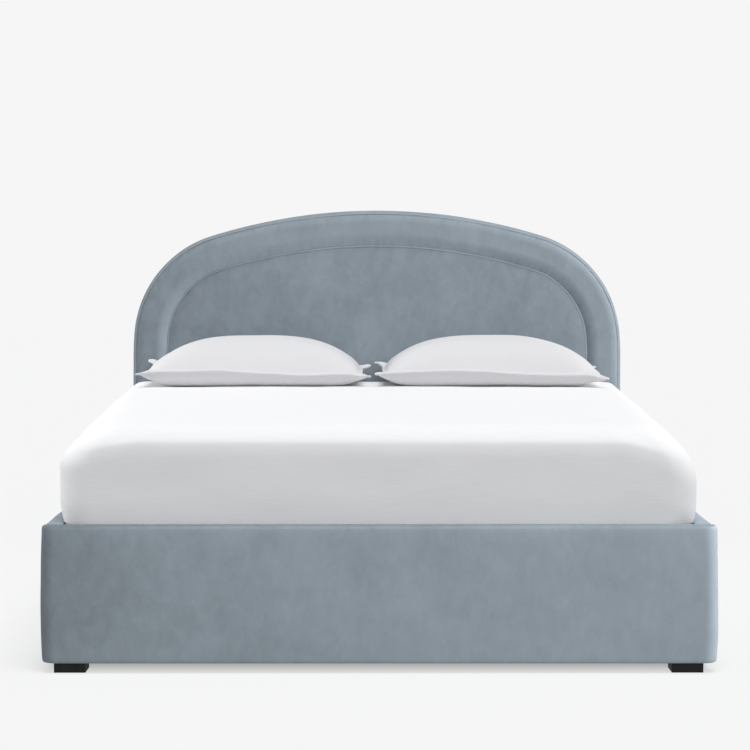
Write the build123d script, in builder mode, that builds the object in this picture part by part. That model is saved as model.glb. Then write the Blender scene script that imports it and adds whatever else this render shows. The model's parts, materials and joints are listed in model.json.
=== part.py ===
from build123d import *
import math
import os

os.makedirs("parts", exist_ok=True)

# Upholstered platform bed with an arched headboard, its mattress and two pillows.
# Millimetres, +Z up. The origin is on the floor at the middle of the bed.
# The foot of the bed is towards -Y and the headboard towards +Y.

# Driving dimensions of the mattress and of the frame around it
mattress_width = 1524
mattress_length = 2032
mattress_thickness = 292
mattress_recess = 50
mattress_side_gap = 3
mattress_end_gap = 4
foot_height = 25
rail_height = 330
side_rail_thickness = 38
foot_rail_thickness = 50
foot_rail_overhang = 10
headboard_depth = 95
headboard_height = 1150

# Layers shared by the upholstered pieces
cover_thickness = 2
touch_gap = 0.3
cut_overrun = 1

# Arched outline of the headboard, from the top down to each side
arch_top_radius = 1830
arch_side_radius = 928
arch_top_angle = math.radians(17.26)
arch_shoulder_angle = math.radians(85.2)

# Headboard frame
panel_thickness = 12
stile_depth = 40
stile_width = 70
arch_rib_width = 60
lower_rail_height = 100
lower_rail_rise = 175
middle_rail_height = 80
back_cloth_thickness = 1.5

# Headboard padding
boxing_bulge = 14
boxing_back_step = 5
boxing_crown_share = 0.55
border_width = 102
border_edge_height = 20
centre_edge_height = 18
centre_crown_height = 32
centre_roll_rise_share = 0.72
centre_roll_inset_share = 0.1
centre_crown_inset_share = 0.64
centre_roll_base_share = 0.08
centre_crown_base_share = 0.5
pad_clearance_over_rail = 10
piping_radius = 3

# Rails
side_rail_foam = 6
foot_rail_foam = 12
side_rail_edge_radius = 8
foot_rail_edge_radius = 12
foot_rail_corner_radius = 26
foot_rail_inner_radius = 6
cover_inner_flap = 60
cover_bottom_flap = 12

# Corner posts, ledgers, slats and centre support
post_width = 40
post_length = 60
post_height = 265
ledger_thickness = 22
ledger_height = 45
slat_count = 12
slat_width = 90
slat_thickness = 18
slat_end_gap = 5
slat_first_setback = 112
slat_last_setback = 57
beam_width = 45
beam_height = 60
hanger_plate = 3
hanger_width = 110
hanger_reach = 55
leg_top_width = 50
leg_foot_width = 40
leg_spread = 700
leg_stud_radius = 4
leg_stud_length = 25

# Block feet
foot_size = 76
foot_side_inset = 22
foot_front_inset = 20
foot_rear_inset = 6
foot_edge_chamfer = 1.5

# Steel brackets that join the side rails to the headboard
bracket_plate = 3
bracket_flange = 60
bracket_height = 160
bracket_rise = 35

# Countersunk wood screws, one size throughout
screw_radius = 2.5
screw_length = 30
screw_head_radius = 4.8
screw_head_height = 3
screw_clearance = 0.15
ledger_screw_recess = 6
foot_screw_recess = 12
ledger_screw_count = 5
ledger_screw_end = 120
slat_screw_inset = 9
foot_screw_spacing = 24
bracket_screw_count = 3
bracket_screw_end = 30

# Socket-head bolts and the threaded inserts that take them
bolt_radius = 4
bolt_length = 55
bolt_head_radius = 6.5
bolt_head_height = 8
bolt_hole_clearance = 0.3
insert_radius = 6
insert_length = 15
insert_clearance = 0.1
bolt_end = 50

# Mattress shape
mattress_cover = 3
mattress_bulge = 10
mattress_corner_radius = 75
mattress_bottom_radius = 18
mattress_roll_radius = 92
mattress_crown_inset = 190
mattress_crown_drop = 3
mattress_straight_over_rail = 5
mattress_bulge_rise = 90
mattress_roll_steps = 6
mattress_bulge_steps = 3
mattress_comfort_thickness = 60

# Pillow shape: the seam lies between a high top and a flatter underside
pillow_width = 730
pillow_depth = 450
pillow_top_rise = 112
pillow_bottom_rise = 43
pillow_case_thickness = 2
pillow_fill_tip_inset = 14
pillow_left_x = -383
pillow_right_x = 354
pillow_headboard_gap = 6
pillow_seat_gap = 1.2
pillow_station_shares = (-1, -0.96, -0.86, -0.66, -0.35, 0, 0.35, 0.66, 0.86, 0.96, 1)
pillow_thickness_shares = (0.04, 0.2, 0.5, 0.8, 0.97, 1, 0.97, 0.8, 0.5, 0.2, 0.04)
pillow_depth_shares = (0.96, 0.93, 0.93, 0.96, 0.99, 1, 0.99, 0.96, 0.93, 0.93, 0.96)

# Worked-out places along the bed
bed_length = foot_rail_thickness + mattress_length + 2 * mattress_end_gap + headboard_depth
foot_face_y = -bed_length / 2
foot_inner_y = foot_face_y + foot_rail_thickness
foot_board_inner_y = foot_inner_y - cover_thickness
mattress_foot_y = foot_inner_y + mattress_end_gap
mattress_head_y = mattress_foot_y + mattress_length
pad_front_y = mattress_head_y + mattress_end_gap
headboard_back_y = bed_length / 2
frame_back_y = headboard_back_y - back_cloth_thickness
frame_front_y = frame_back_y - stile_depth
panel_front_y = frame_front_y - panel_thickness
lower_cover_y = panel_front_y - cover_thickness

# Worked-out places across the bed
rail_inner_x = mattress_width / 2 + mattress_side_gap
rail_outer_x = rail_inner_x + side_rail_thickness
board_inner_x = rail_inner_x + cover_thickness
board_outer_x = rail_outer_x - cover_thickness - side_rail_foam
foot_rail_half = rail_outer_x + foot_rail_overhang
headboard_half = rail_outer_x
ledger_inner_x = board_inner_x - ledger_thickness
post_inner_x = board_inner_x - post_width

# Worked-out heights
rail_top_z = foot_height + rail_height
slat_top_z = rail_top_z - mattress_recess
slat_bottom_z = slat_top_z - slat_thickness
mattress_top_z = slat_top_z + mattress_thickness
pad_bottom_z = rail_top_z + pad_clearance_over_rail
beam_bottom_z = slat_bottom_z - beam_height

# Worked-out arch: the shoulder radius closes the outline at the headboard's half width
top_share = math.sin(arch_top_angle)
shoulder_share = math.sin(arch_shoulder_angle)
arch_shoulder_radius = (
    headboard_half - arch_top_radius * top_share - arch_side_radius * (1 - shoulder_share)
) / (shoulder_share - top_share)
top_centre = Vector(0, headboard_height - arch_top_radius)
shoulder_centre = top_centre + Vector(top_share, math.cos(arch_top_angle)) * (
    arch_top_radius - arch_shoulder_radius
)
side_centre = shoulder_centre + Vector(shoulder_share, math.cos(arch_shoulder_angle)) * (
    arch_shoulder_radius - arch_side_radius
)
spring_z = side_centre.Y
border_inset = boxing_bulge
centre_inset = boxing_bulge + border_width


def keep(piece, name):
    """Label a finished piece and write it as its own file."""
    piece.part.label = name
    export_step(piece.part, f"parts/{name}.step")


def arch_point(centre, radius, angle):
    """Point on an arc of the outline, with the angle counted from straight up."""
    return (centre.X + radius * math.sin(angle), centre.Y + radius * math.cos(angle))


def half_arch_points(inset):
    """Springing, side middle, shoulder end, shoulder middle and shoulder start, on the right."""
    right = math.pi / 2
    side_middle = (right + arch_shoulder_angle) / 2
    shoulder_middle = (arch_shoulder_angle + arch_top_angle) / 2
    return [
        arch_point(side_centre, arch_side_radius - inset, right),
        arch_point(side_centre, arch_side_radius - inset, side_middle),
        arch_point(shoulder_centre, arch_shoulder_radius - inset, arch_shoulder_angle),
        arch_point(shoulder_centre, arch_shoulder_radius - inset, shoulder_middle),
        arch_point(shoulder_centre, arch_shoulder_radius - inset, arch_top_angle),
    ]


def mirrored(points):
    """The same points on the left side."""
    return [(-x, z) for x, z in points]


def draw_arch(inset, bottom_z):
    """Draw the open headboard outline from the right foot over the arch to the left foot."""
    right = half_arch_points(inset)
    left = mirrored(right)
    Line((right[0][0], bottom_z), right[0])
    ThreePointArc(right[0], right[1], right[2])
    ThreePointArc(right[2], right[3], right[4])
    ThreePointArc(right[4], (0, headboard_height - inset), left[4])
    ThreePointArc(left[4], left[3], left[2])
    ThreePointArc(left[2], left[1], left[0])
    Line(left[0], (left[0][0], bottom_z))


def arch_face(plane, inset, bottom_z):
    """Face inside the inset outline, closed by a straight bottom edge."""
    with BuildSketch(plane) as face:
        with BuildLine():
            draw_arch(inset, bottom_z)
            side_x = half_arch_points(inset)[0][0]
            Line((-side_x, bottom_z), (side_x, bottom_z))
        make_face()
    return face.sketch


def front_plane(y):
    """Plane across the bed at y, facing the foot end."""
    return Plane.XZ.offset(-y)


def arched_cushion(inset, bottom_z, shrink, mode=Mode.ADD):
    """Panel with upright edges and a gently crowned front, made smaller all round by shrink."""
    edge_height = centre_edge_height - shrink
    crown_height = centre_crown_height - shrink
    roll_height = edge_height + (crown_height - edge_height) * centre_roll_rise_share
    shoulder_room = arch_shoulder_radius - inset
    base_room = spring_z - bottom_z
    base = arch_face(front_plane(panel_front_y), inset, bottom_z)
    extrude(base, amount=edge_height, mode=mode)
    stations = (
        (0, 0, edge_height),
        (centre_roll_inset_share, centre_roll_base_share, roll_height),
        (centre_crown_inset_share, centre_crown_base_share, crown_height),
    )
    levels = [
        arch_face(
            front_plane(panel_front_y - height),
            inset + shoulder_room * side_share,
            bottom_z + base_room * base_share,
        )
        for side_share, base_share, height in stations
    ]
    loft(levels, mode=mode)


def screws(planes, clearance=0, access=0, mode=Mode.ADD):
    """Countersunk screws, or their holes, driven down each plane's normal."""
    top = (Align.CENTER, Align.CENTER, Align.MAX)
    base = (Align.CENTER, Align.CENTER, Align.MIN)
    with Locations(*planes):
        Cylinder(screw_radius + clearance, screw_length + clearance, align=top, mode=mode)
        Cone(
            screw_radius + clearance,
            screw_head_radius + clearance,
            screw_head_height,
            align=top,
            mode=mode,
        )
        if access:
            Cylinder(screw_head_radius + clearance, access, align=base, mode=mode)


def round_holes(planes, radius, depth):
    """Round holes sunk down each plane's normal, cut with a small overrun outside."""
    top = (Align.CENTER, Align.CENTER, Align.MAX)
    base = (Align.CENTER, Align.CENTER, Align.MIN)
    with Locations(*planes):
        Cylinder(radius, depth, align=top, mode=Mode.SUBTRACT)
        Cylinder(radius, cut_overrun, align=base, mode=Mode.SUBTRACT)


def box_between(low, high, mode=Mode.ADD):
    """Box given by its lowest and highest corners."""
    size = [b - a for a, b in zip(low, high)]
    middle = [(a + b) / 2 for a, b in zip(low, high)]
    with Locations(tuple(middle)):
        Box(*size, mode=mode)


def spaced(first, last, count):
    """Evenly spaced places from first to last."""
    step = (last - first) / (count - 1)
    return [first + step * i for i in range(count)]


def inward_plane(side, x, y, z):
    """Plane on a side piece's inner face, facing the middle of the bed."""
    return Plane(origin=(side * x, y, z), x_dir=(0, 1, 0), z_dir=(-side, 0, 0))


sides = {"left": -1, "right": 1}

# Places of the bolts: two in each corner, at heights shared by posts and brackets
bolt_heights = (
    foot_height + bracket_rise + bracket_height - bolt_end,
    foot_height + bracket_rise + bolt_end,
)
post_middle_y = foot_board_inner_y + post_length / 2
bracket_front_y = lower_cover_y - bracket_plate
bracket_bolt_x = board_inner_x - bracket_flange / 2 - bracket_plate
foot_bolt_planes = {
    side: [inward_plane(side, post_inner_x, post_middle_y, z) for z in bolt_heights]
    for side in sides.values()
}
head_bolt_planes = {
    side: [
        Plane(origin=(side * bracket_bolt_x, bracket_front_y, z), z_dir=(0, -1, 0))
        for z in bolt_heights
    ]
    for side in sides.values()
}

# Places of the screws
slat_middles = spaced(
    foot_inner_y + slat_first_setback, pad_front_y - slat_last_setback + slat_width / 2, slat_count
)
slat_half = board_inner_x - slat_end_gap
slat_screw_planes = {
    index: [
        Plane(origin=(side * (slat_half - slat_screw_inset), y, slat_top_z))
        for side in sides.values()
    ]
    for index, y in enumerate(slat_middles)
}
ledger_middle_z = slat_bottom_z - ledger_height / 2
ledger_front_y = foot_board_inner_y + post_length
ledger_screw_places = spaced(
    ledger_front_y + ledger_screw_end, lower_cover_y - ledger_screw_end, ledger_screw_count
)
ledger_screw_planes = {
    side: [
        inward_plane(side, ledger_inner_x + ledger_screw_recess, y, ledger_middle_z)
        for y in ledger_screw_places
    ]
    for side in sides.values()
}
bracket_bottom_z = foot_height + bracket_rise
bracket_screw_heights = spaced(
    bracket_bottom_z + bracket_screw_end,
    bracket_bottom_z + bracket_height - bracket_screw_end,
    bracket_screw_count,
)
bracket_screw_planes = {
    side: [
        inward_plane(side, board_inner_x - bracket_plate, lower_cover_y - bracket_flange / 2, z)
        for z in bracket_screw_heights
    ]
    for side in sides.values()
}
hanger_screw_x = (hanger_width / 2 + beam_width / 2 + hanger_plate + touch_gap) / 2
beam_middle_z = beam_bottom_z + beam_height / 2
foot_hanger_planes = [
    Plane(
        origin=(side * hanger_screw_x, foot_board_inner_y + hanger_plate, beam_middle_z),
        z_dir=(0, 1, 0),
    )
    for side in sides.values()
]
head_hanger_planes = [
    Plane(
        origin=(side * hanger_screw_x, lower_cover_y - hanger_plate, beam_middle_z),
        z_dir=(0, -1, 0),
    )
    for side in sides.values()
]
foot_screw_z = foot_screw_recess
front_foot_screw_planes = {
    side: [
        Plane(
            origin=(side * (board_inner_x - post_width / 2), y, foot_screw_z),
            z_dir=(0, 0, -1),
        )
        for y in (
            post_middle_y - foot_screw_spacing / 2,
            post_middle_y + foot_screw_spacing / 2,
        )
    ]
    for side in sides.values()
}
stile_middle_x = headboard_half - boxing_bulge - stile_width / 2
stile_middle_y = frame_front_y + stile_depth / 2
rear_foot_screw_planes = {
    side: [
        Plane(origin=(side * x, stile_middle_y, foot_screw_z), z_dir=(0, 0, -1))
        for x in (
            stile_middle_x - foot_screw_spacing / 2,
            stile_middle_x + foot_screw_spacing / 2,
        )
    ]
    for side in sides.values()
}

# Headboard panel: a plywood board cut to the arch, bored for the bolts and hanger screws
with BuildPart() as headboard_panel:
    extrude(
        arch_face(front_plane(frame_front_y), boxing_bulge, foot_height), amount=panel_thickness
    )
    for side in sides.values():
        round_holes(head_bolt_planes[side], bolt_radius + bolt_hole_clearance, bolt_length)
    screws(head_hanger_planes, screw_clearance, mode=Mode.SUBTRACT)
keep(headboard_panel, "headboard_panel")

# Stiles: upright timbers behind the panel that carry the rear feet and take the rail bolts
for label, side in sides.items():
    outer_x = headboard_half - boxing_bulge
    inner_x = outer_x - stile_width
    with BuildPart() as stile:
        box_between(
            (min(side * inner_x, side * outer_x), frame_front_y, foot_height),
            (max(side * inner_x, side * outer_x), frame_back_y, spring_z),
        )
        round_holes(head_bolt_planes[side], bolt_radius + bolt_hole_clearance, bolt_length)
        with Locations(*head_bolt_planes[side]):
            with Locations((0, 0, -bolt_length + insert_length)):
                Cylinder(
                    insert_radius + insert_clearance,
                    stile_depth,
                    align=(Align.CENTER, Align.CENTER, Align.MAX),
                    mode=Mode.SUBTRACT,
                )
        screws(rear_foot_screw_planes[side], screw_clearance, mode=Mode.SUBTRACT)
    keep(stile, f"headboard_stile_{label}")

# Cross rails between the stiles
cross_rail_half = headboard_half - boxing_bulge - stile_width
lower_rail_z = foot_height + lower_rail_rise
with BuildPart() as lower_rail:
    box_between(
        (-cross_rail_half, frame_front_y, lower_rail_z),
        (cross_rail_half, frame_back_y, lower_rail_z + lower_rail_height),
    )
    screws(head_hanger_planes, screw_clearance, mode=Mode.SUBTRACT)
keep(lower_rail, "headboard_lower_rail")

with BuildPart() as middle_rail:
    box_between(
        (-cross_rail_half, frame_front_y, spring_z - middle_rail_height),
        (cross_rail_half, frame_back_y, spring_z),
    )
keep(middle_rail, "headboard_middle_rail")

# Arch ribs: built-up plywood that follows the outline from each stile to the top
for label, side in sides.items():
    outer = [(side * x, z) for x, z in half_arch_points(boxing_bulge)]
    inner = [(side * x, z) for x, z in half_arch_points(boxing_bulge + arch_rib_width)]
    half_top_angle = arch_top_angle / 2
    outer_top = [
        arch_point(top_centre, arch_top_radius - boxing_bulge, side * half_top_angle),
        (0, headboard_height - boxing_bulge),
    ]
    inner_top = [
        arch_point(
            top_centre, arch_top_radius - boxing_bulge - arch_rib_width, side * half_top_angle
        ),
        (0, headboard_height - boxing_bulge - arch_rib_width),
    ]
    with BuildPart() as rib:
        with BuildSketch(front_plane(frame_back_y)):
            with BuildLine():
                ThreePointArc(outer[0], outer[1], outer[2])
                ThreePointArc(outer[2], outer[3], outer[4])
                ThreePointArc(outer[4], outer_top[0], outer_top[1])
                Line(outer_top[1], inner_top[1])
                ThreePointArc(inner_top[1], inner_top[0], inner[4])
                ThreePointArc(inner[4], inner[3], inner[2])
                ThreePointArc(inner[2], inner[1], inner[0])
                Line(inner[0], outer[0])
            make_face()
        extrude(amount=stile_depth)
    keep(rib, f"headboard_arch_rib_{label}")

# Centre pad: crowned foam inside the border, with a flat-topped cover that runs on
# down the lower part of the panel as one cloth
centre_pad_inset = centre_inset + cover_thickness
with BuildPart() as centre_pad:
    arched_cushion(centre_pad_inset, pad_bottom_z + cover_thickness, cover_thickness)
keep(centre_pad, "headboard_centre_pad")

panel_half = headboard_half - boxing_bulge
with BuildPart() as centre_cover:
    arched_cushion(centre_inset, pad_bottom_z, 0)
    arched_cushion(
        centre_pad_inset, pad_bottom_z + cover_thickness, cover_thickness, mode=Mode.SUBTRACT
    )
    box_between(
        (-panel_half, lower_cover_y, foot_height), (panel_half, panel_front_y, pad_bottom_z)
    )
    for side in sides.values():
        round_holes(head_bolt_planes[side], bolt_radius + bolt_hole_clearance, bolt_length)
    screws(head_hanger_planes, screw_clearance, mode=Mode.SUBTRACT)
keep(centre_cover, "headboard_centre_cover")

# Border pad: a puffed band swept up one side, over the arch and down the other
border_outer_x = headboard_half - border_inset
border_inner_x = headboard_half - centre_inset
border_crown_height = panel_front_y - pad_front_y


def border_profile(shrink):
    """Half-round section of the border, standing on the panel at its right-hand end."""
    outer_x = border_outer_x - shrink
    inner_x = border_inner_x + shrink
    edge_y = panel_front_y - border_edge_height + shrink
    crown = ((outer_x + inner_x) / 2, panel_front_y - border_crown_height + shrink)
    with BuildSketch(Plane.XY.offset(pad_bottom_z)) as profile:
        with BuildLine():
            Line((inner_x, panel_front_y), (outer_x, panel_front_y))
            Line((outer_x, panel_front_y), (outer_x, edge_y))
            ThreePointArc((outer_x, edge_y), crown, (inner_x, edge_y))
            Line((inner_x, edge_y), (inner_x, panel_front_y))
        make_face()
    return profile.sketch


def arch_path(inset, y, bottom_z):
    """Path along the headboard outline at one depth."""
    with BuildLine(front_plane(y)) as path:
        draw_arch(inset, bottom_z)
    return path.line


border_path = arch_path(border_inset, panel_front_y, pad_bottom_z)
with BuildPart() as border_pad:
    sweep(border_profile(cover_thickness), path=border_path)
keep(border_pad, "headboard_border_pad")

with BuildPart() as border_cover:
    sweep(border_profile(0), path=border_path)
    sweep(border_profile(cover_thickness), path=border_path, mode=Mode.SUBTRACT)
keep(border_cover, "headboard_border_cover")

# Boxing: a padded strip round the headboard's edge, cut back where the rails meet it
boxing_front_y = panel_front_y - border_edge_height
boxing_inner_x = headboard_half - boxing_bulge
boxing_crown_y = boxing_front_y + (frame_back_y - boxing_front_y) * boxing_crown_share
with BuildPart() as boxing:
    with BuildSketch(Plane.XY.offset(foot_height)):
        with BuildLine():
            Line((boxing_inner_x, frame_back_y), (boxing_inner_x, boxing_front_y))
            ThreePointArc(
                (boxing_inner_x, boxing_front_y),
                (headboard_half, boxing_crown_y),
                (boxing_inner_x + boxing_back_step, frame_back_y),
            )
            Line(
                (boxing_inner_x + boxing_back_step, frame_back_y), (boxing_inner_x, frame_back_y)
            )
        make_face()
    sweep(path=arch_path(boxing_bulge, frame_back_y, foot_height))
    lower_cut_half = headboard_half + cut_overrun
    box_between(
        (-lower_cut_half, boxing_front_y - cut_overrun, foot_height - cut_overrun),
        (lower_cut_half, lower_cover_y + touch_gap, pad_bottom_z - cut_overrun),
        mode=Mode.SUBTRACT,
    )
keep(boxing, "headboard_boxing")

# Piping: a round cord on the outer edge, and another in the seam of the centre panel
border_slope = 2 * math.atan2(border_crown_height - border_edge_height, border_width / 2)
outer_piping_angle = border_slope + math.pi / 2
piping_offset = piping_radius + touch_gap
outer_piping_x = headboard_half - boxing_bulge - piping_offset * math.cos(outer_piping_angle)
outer_piping_y = boxing_front_y - piping_offset * math.sin(outer_piping_angle)
inner_piping_x = headboard_half - centre_inset
inner_piping_y = boxing_front_y - piping_offset / math.cos(border_slope)
piping_places = {
    "headboard_outer_piping": (outer_piping_x, outer_piping_y),
    "headboard_inner_piping": (inner_piping_x, inner_piping_y),
}
for label, (x, y) in piping_places.items():
    with BuildPart() as piping:
        with BuildSketch(Plane(origin=(x, y, pad_bottom_z))):
            Circle(piping_radius)
        sweep(path=arch_path(headboard_half - x, y, pad_bottom_z))
    keep(piping, label)

# Back cloth: thin cloth that closes the back of the headboard
with BuildPart() as back_cloth:
    extrude(
        arch_face(front_plane(headboard_back_y), boxing_bulge, foot_height),
        amount=back_cloth_thickness,
    )
keep(back_cloth, "headboard_back_cloth")


def side_rail_section(side, inset, radius):
    """Rail section, inset all round, with its outer top edge rounded."""
    low_x = rail_inner_x + inset
    high_x = rail_outer_x - inset
    low_z = foot_height + inset
    high_z = rail_top_z - inset
    corner = radius * (1 - math.sin(math.pi / 4))
    with BuildSketch(Plane.XZ.offset(-foot_inner_y)) as section:
        with BuildLine():
            Line((side * low_x, low_z), (side * high_x, low_z))
            Line((side * high_x, low_z), (side * high_x, high_z - radius))
            ThreePointArc(
                (side * high_x, high_z - radius),
                (side * (high_x - corner), high_z - corner),
                (side * (high_x - radius), high_z),
            )
            Line((side * (high_x - radius), high_z), (side * low_x, high_z))
            Line((side * low_x, high_z), (side * low_x, low_z))
        make_face()
    return section.sketch


# Side rails: a timber board, foam over its face and top, and a cloth wrapped round both
side_rail_length = lower_cover_y - foot_inner_y
board_top_z = rail_top_z - cover_thickness - side_rail_foam
board_bottom_z = foot_height + cover_thickness
for label, side in sides.items():
    with BuildPart() as board:
        box_between(
            (min(side * board_inner_x, side * board_outer_x), foot_inner_y, board_bottom_z),
            (max(side * board_inner_x, side * board_outer_x), lower_cover_y, board_top_z),
        )
        with Locations(*foot_bolt_planes[side]):
            with Locations((0, 0, -post_width)):
                Cylinder(
                    insert_radius + insert_clearance,
                    insert_length,
                    align=(Align.CENTER, Align.CENTER, Align.MAX),
                    mode=Mode.SUBTRACT,
                )
        screws(ledger_screw_planes[side], screw_clearance, mode=Mode.SUBTRACT)
        screws(bracket_screw_planes[side], screw_clearance, mode=Mode.SUBTRACT)
    keep(board, f"side_rail_board_{label}")

    with BuildPart() as foam:
        inner_section = side_rail_section(
            side, cover_thickness, side_rail_edge_radius - cover_thickness
        )
        extrude(inner_section, amount=-side_rail_length)
        box_between(
            (
                min(side * (board_inner_x - cut_overrun), side * board_outer_x),
                foot_inner_y,
                board_bottom_z - cut_overrun,
            ),
            (
                max(side * (board_inner_x - cut_overrun), side * board_outer_x),
                lower_cover_y,
                board_top_z,
            ),
            mode=Mode.SUBTRACT,
        )
    keep(foam, f"side_rail_foam_{label}")

    with BuildPart() as cover:
        extrude(side_rail_section(side, 0, side_rail_edge_radius), amount=-side_rail_length)
        extrude(inner_section, amount=-side_rail_length, mode=Mode.SUBTRACT)
        flap_edge_x = board_outer_x - cover_bottom_flap
        box_between(
            (
                min(side * (rail_inner_x - cut_overrun), side * flap_edge_x),
                foot_inner_y,
                foot_height - cut_overrun,
            ),
            (
                max(side * (rail_inner_x - cut_overrun), side * flap_edge_x),
                lower_cover_y,
                rail_top_z - cover_inner_flap,
            ),
            mode=Mode.SUBTRACT,
        )
    keep(cover, f"side_rail_cover_{label}")


def foot_rail_block(inset, mode=Mode.ADD):
    """Foot rail body, inset all round, with rounded front corners and a rounded top edge."""
    half = foot_rail_half - inset
    front_y = foot_face_y + inset
    back_y = foot_inner_y - inset
    corner = foot_rail_corner_radius - inset
    back_corner = foot_rail_inner_radius - inset
    edge = foot_rail_edge_radius - inset
    bottom_z = foot_height + inset
    shoulder_z = rail_top_z - inset - edge
    levels = [(bottom_z, edge / 2), (bottom_z + edge, 0), (shoulder_z, 0)]
    for pair in (levels[:2], levels[1:]):
        faces = [
            foot_rail_outline(z, half - shrink, front_y + shrink, back_y, corner, back_corner)
            for z, shrink in pair
        ]
        loft(faces, ruled=True, mode=mode)
    faces = []
    for angle in (0, math.pi / 6, math.pi / 3, math.pi / 2):
        shrink = edge * (1 - math.cos(angle))
        z = shoulder_z + edge * math.sin(angle)
        faces.append(
            foot_rail_outline(z, half - shrink, front_y + shrink, back_y, corner, back_corner)
        )
    loft(faces, mode=mode)


def foot_rail_outline(z, half, front_y, back_y, corner, back_corner):
    """Plan of the foot rail at one height."""
    front = corner * (1 - math.sin(math.pi / 4))
    back = back_corner * (1 - math.sin(math.pi / 4))
    with BuildSketch(Plane.XY.offset(z)) as outline:
        with BuildLine():
            Line((-half + corner, front_y), (half - corner, front_y))
            ThreePointArc(
                (half - corner, front_y), (half - front, front_y + front), (half, front_y + corner)
            )
            Line((half, front_y + corner), (half, back_y - back_corner))
            ThreePointArc(
                (half, back_y - back_corner),
                (half - back, back_y - back),
                (half - back_corner, back_y),
            )
            Line((half - back_corner, back_y), (-half + back_corner, back_y))
            ThreePointArc(
                (-half + back_corner, back_y),
                (-half + back, back_y - back),
                (-half, back_y - back_corner),
            )
            Line((-half, back_y - back_corner), (-half, front_y + corner))
            ThreePointArc(
                (-half, front_y + corner),
                (-half + front, front_y + front),
                (-half + corner, front_y),
            )
        make_face()
    return outline.sketch


# Foot rail: the same build as the side rails, with thicker foam and rounded corners
foot_board_half = foot_rail_half - cover_thickness - foot_rail_foam
foot_board_front_y = foot_face_y + cover_thickness + foot_rail_foam
foot_board_top_z = rail_top_z - cover_thickness - foot_rail_foam
with BuildPart() as foot_board:
    box_between(
        (-foot_board_half, foot_board_front_y, board_bottom_z),
        (foot_board_half, foot_board_inner_y, foot_board_top_z),
    )
    screws(foot_hanger_planes, screw_clearance, mode=Mode.SUBTRACT)
keep(foot_board, "foot_rail_board")

with BuildPart() as foot_foam:
    foot_rail_block(cover_thickness)
    box_between(
        (-foot_board_half, foot_board_front_y, board_bottom_z - cut_overrun),
        (foot_board_half, foot_board_inner_y + cut_overrun, foot_board_top_z),
        mode=Mode.SUBTRACT,
    )
keep(foot_foam, "foot_rail_foam")

foot_flap_z = rail_top_z - cover_inner_flap
with BuildPart() as foot_cover:
    foot_rail_block(0)
    foot_rail_block(cover_thickness, mode=Mode.SUBTRACT)
    box_between(
        (-board_inner_x, foot_board_inner_y, foot_height - cut_overrun),
        (board_inner_x, foot_inner_y + cut_overrun, foot_flap_z),
        mode=Mode.SUBTRACT,
    )
    box_between(
        (
            -board_inner_x,
            foot_board_front_y + cover_bottom_flap,
            foot_height - cut_overrun,
        ),
        (board_inner_x, foot_inner_y, board_bottom_z),
        mode=Mode.SUBTRACT,
    )
keep(foot_cover, "foot_rail_cover")

# Corner posts: timber blocks glued to the foot board, bolted to the side rails
for label, side in sides.items():
    with BuildPart() as post:
        box_between(
            (
                min(side * post_inner_x, side * board_inner_x),
                foot_board_inner_y,
                foot_height,
            ),
            (
                max(side * post_inner_x, side * board_inner_x),
                foot_board_inner_y + post_length,
                foot_height + post_height,
            ),
        )
        round_holes(foot_bolt_planes[side], bolt_radius + bolt_hole_clearance, bolt_length)
        screws(front_foot_screw_planes[side], screw_clearance, mode=Mode.SUBTRACT)
    keep(post, f"corner_post_{label}")

# Ledgers: battens screwed inside the side rails to carry the slat ends
for label, side in sides.items():
    with BuildPart() as ledger:
        box_between(
            (
                min(side * ledger_inner_x, side * board_inner_x),
                ledger_front_y,
                slat_bottom_z - ledger_height,
            ),
            (
                max(side * ledger_inner_x, side * board_inner_x),
                lower_cover_y,
                slat_bottom_z,
            ),
        )
        screws(
            ledger_screw_planes[side],
            screw_clearance,
            access=ledger_screw_recess + cut_overrun,
            mode=Mode.SUBTRACT,
        )
        for planes in slat_screw_planes.values():
            screws(planes, screw_clearance, mode=Mode.SUBTRACT)
    keep(ledger, f"side_ledger_{label}")

# Rail brackets: folded steel angles between the side rails and the headboard
for label, side in sides.items():
    inner_x = board_inner_x - bracket_plate
    with BuildPart() as bracket:
        box_between(
            (
                min(side * inner_x, side * board_inner_x),
                lower_cover_y - bracket_flange,
                bracket_bottom_z,
            ),
            (
                max(side * inner_x, side * board_inner_x),
                lower_cover_y,
                bracket_bottom_z + bracket_height,
            ),
        )
        box_between(
            (
                min(side * (board_inner_x - bracket_flange), side * inner_x),
                bracket_front_y,
                bracket_bottom_z,
            ),
            (
                max(side * (board_inner_x - bracket_flange), side * inner_x),
                lower_cover_y,
                bracket_bottom_z + bracket_height,
            ),
        )
        round_holes(head_bolt_planes[side], bolt_radius + bolt_hole_clearance, bolt_length)
        screws(bracket_screw_planes[side], screw_clearance, mode=Mode.SUBTRACT)
    keep(bracket, f"rail_bracket_{label}")

# Slats: twelve separate boards across the ledgers and the centre beam
for index, y in enumerate(slat_middles):
    with BuildPart() as slat:
        box_between(
            (-slat_half, y - slat_width / 2, slat_bottom_z),
            (slat_half, y + slat_width / 2, slat_top_z),
        )
        screws(slat_screw_planes[index], screw_clearance, mode=Mode.SUBTRACT)
    keep(slat, f"slat_{index + 1:02d}")

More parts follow.
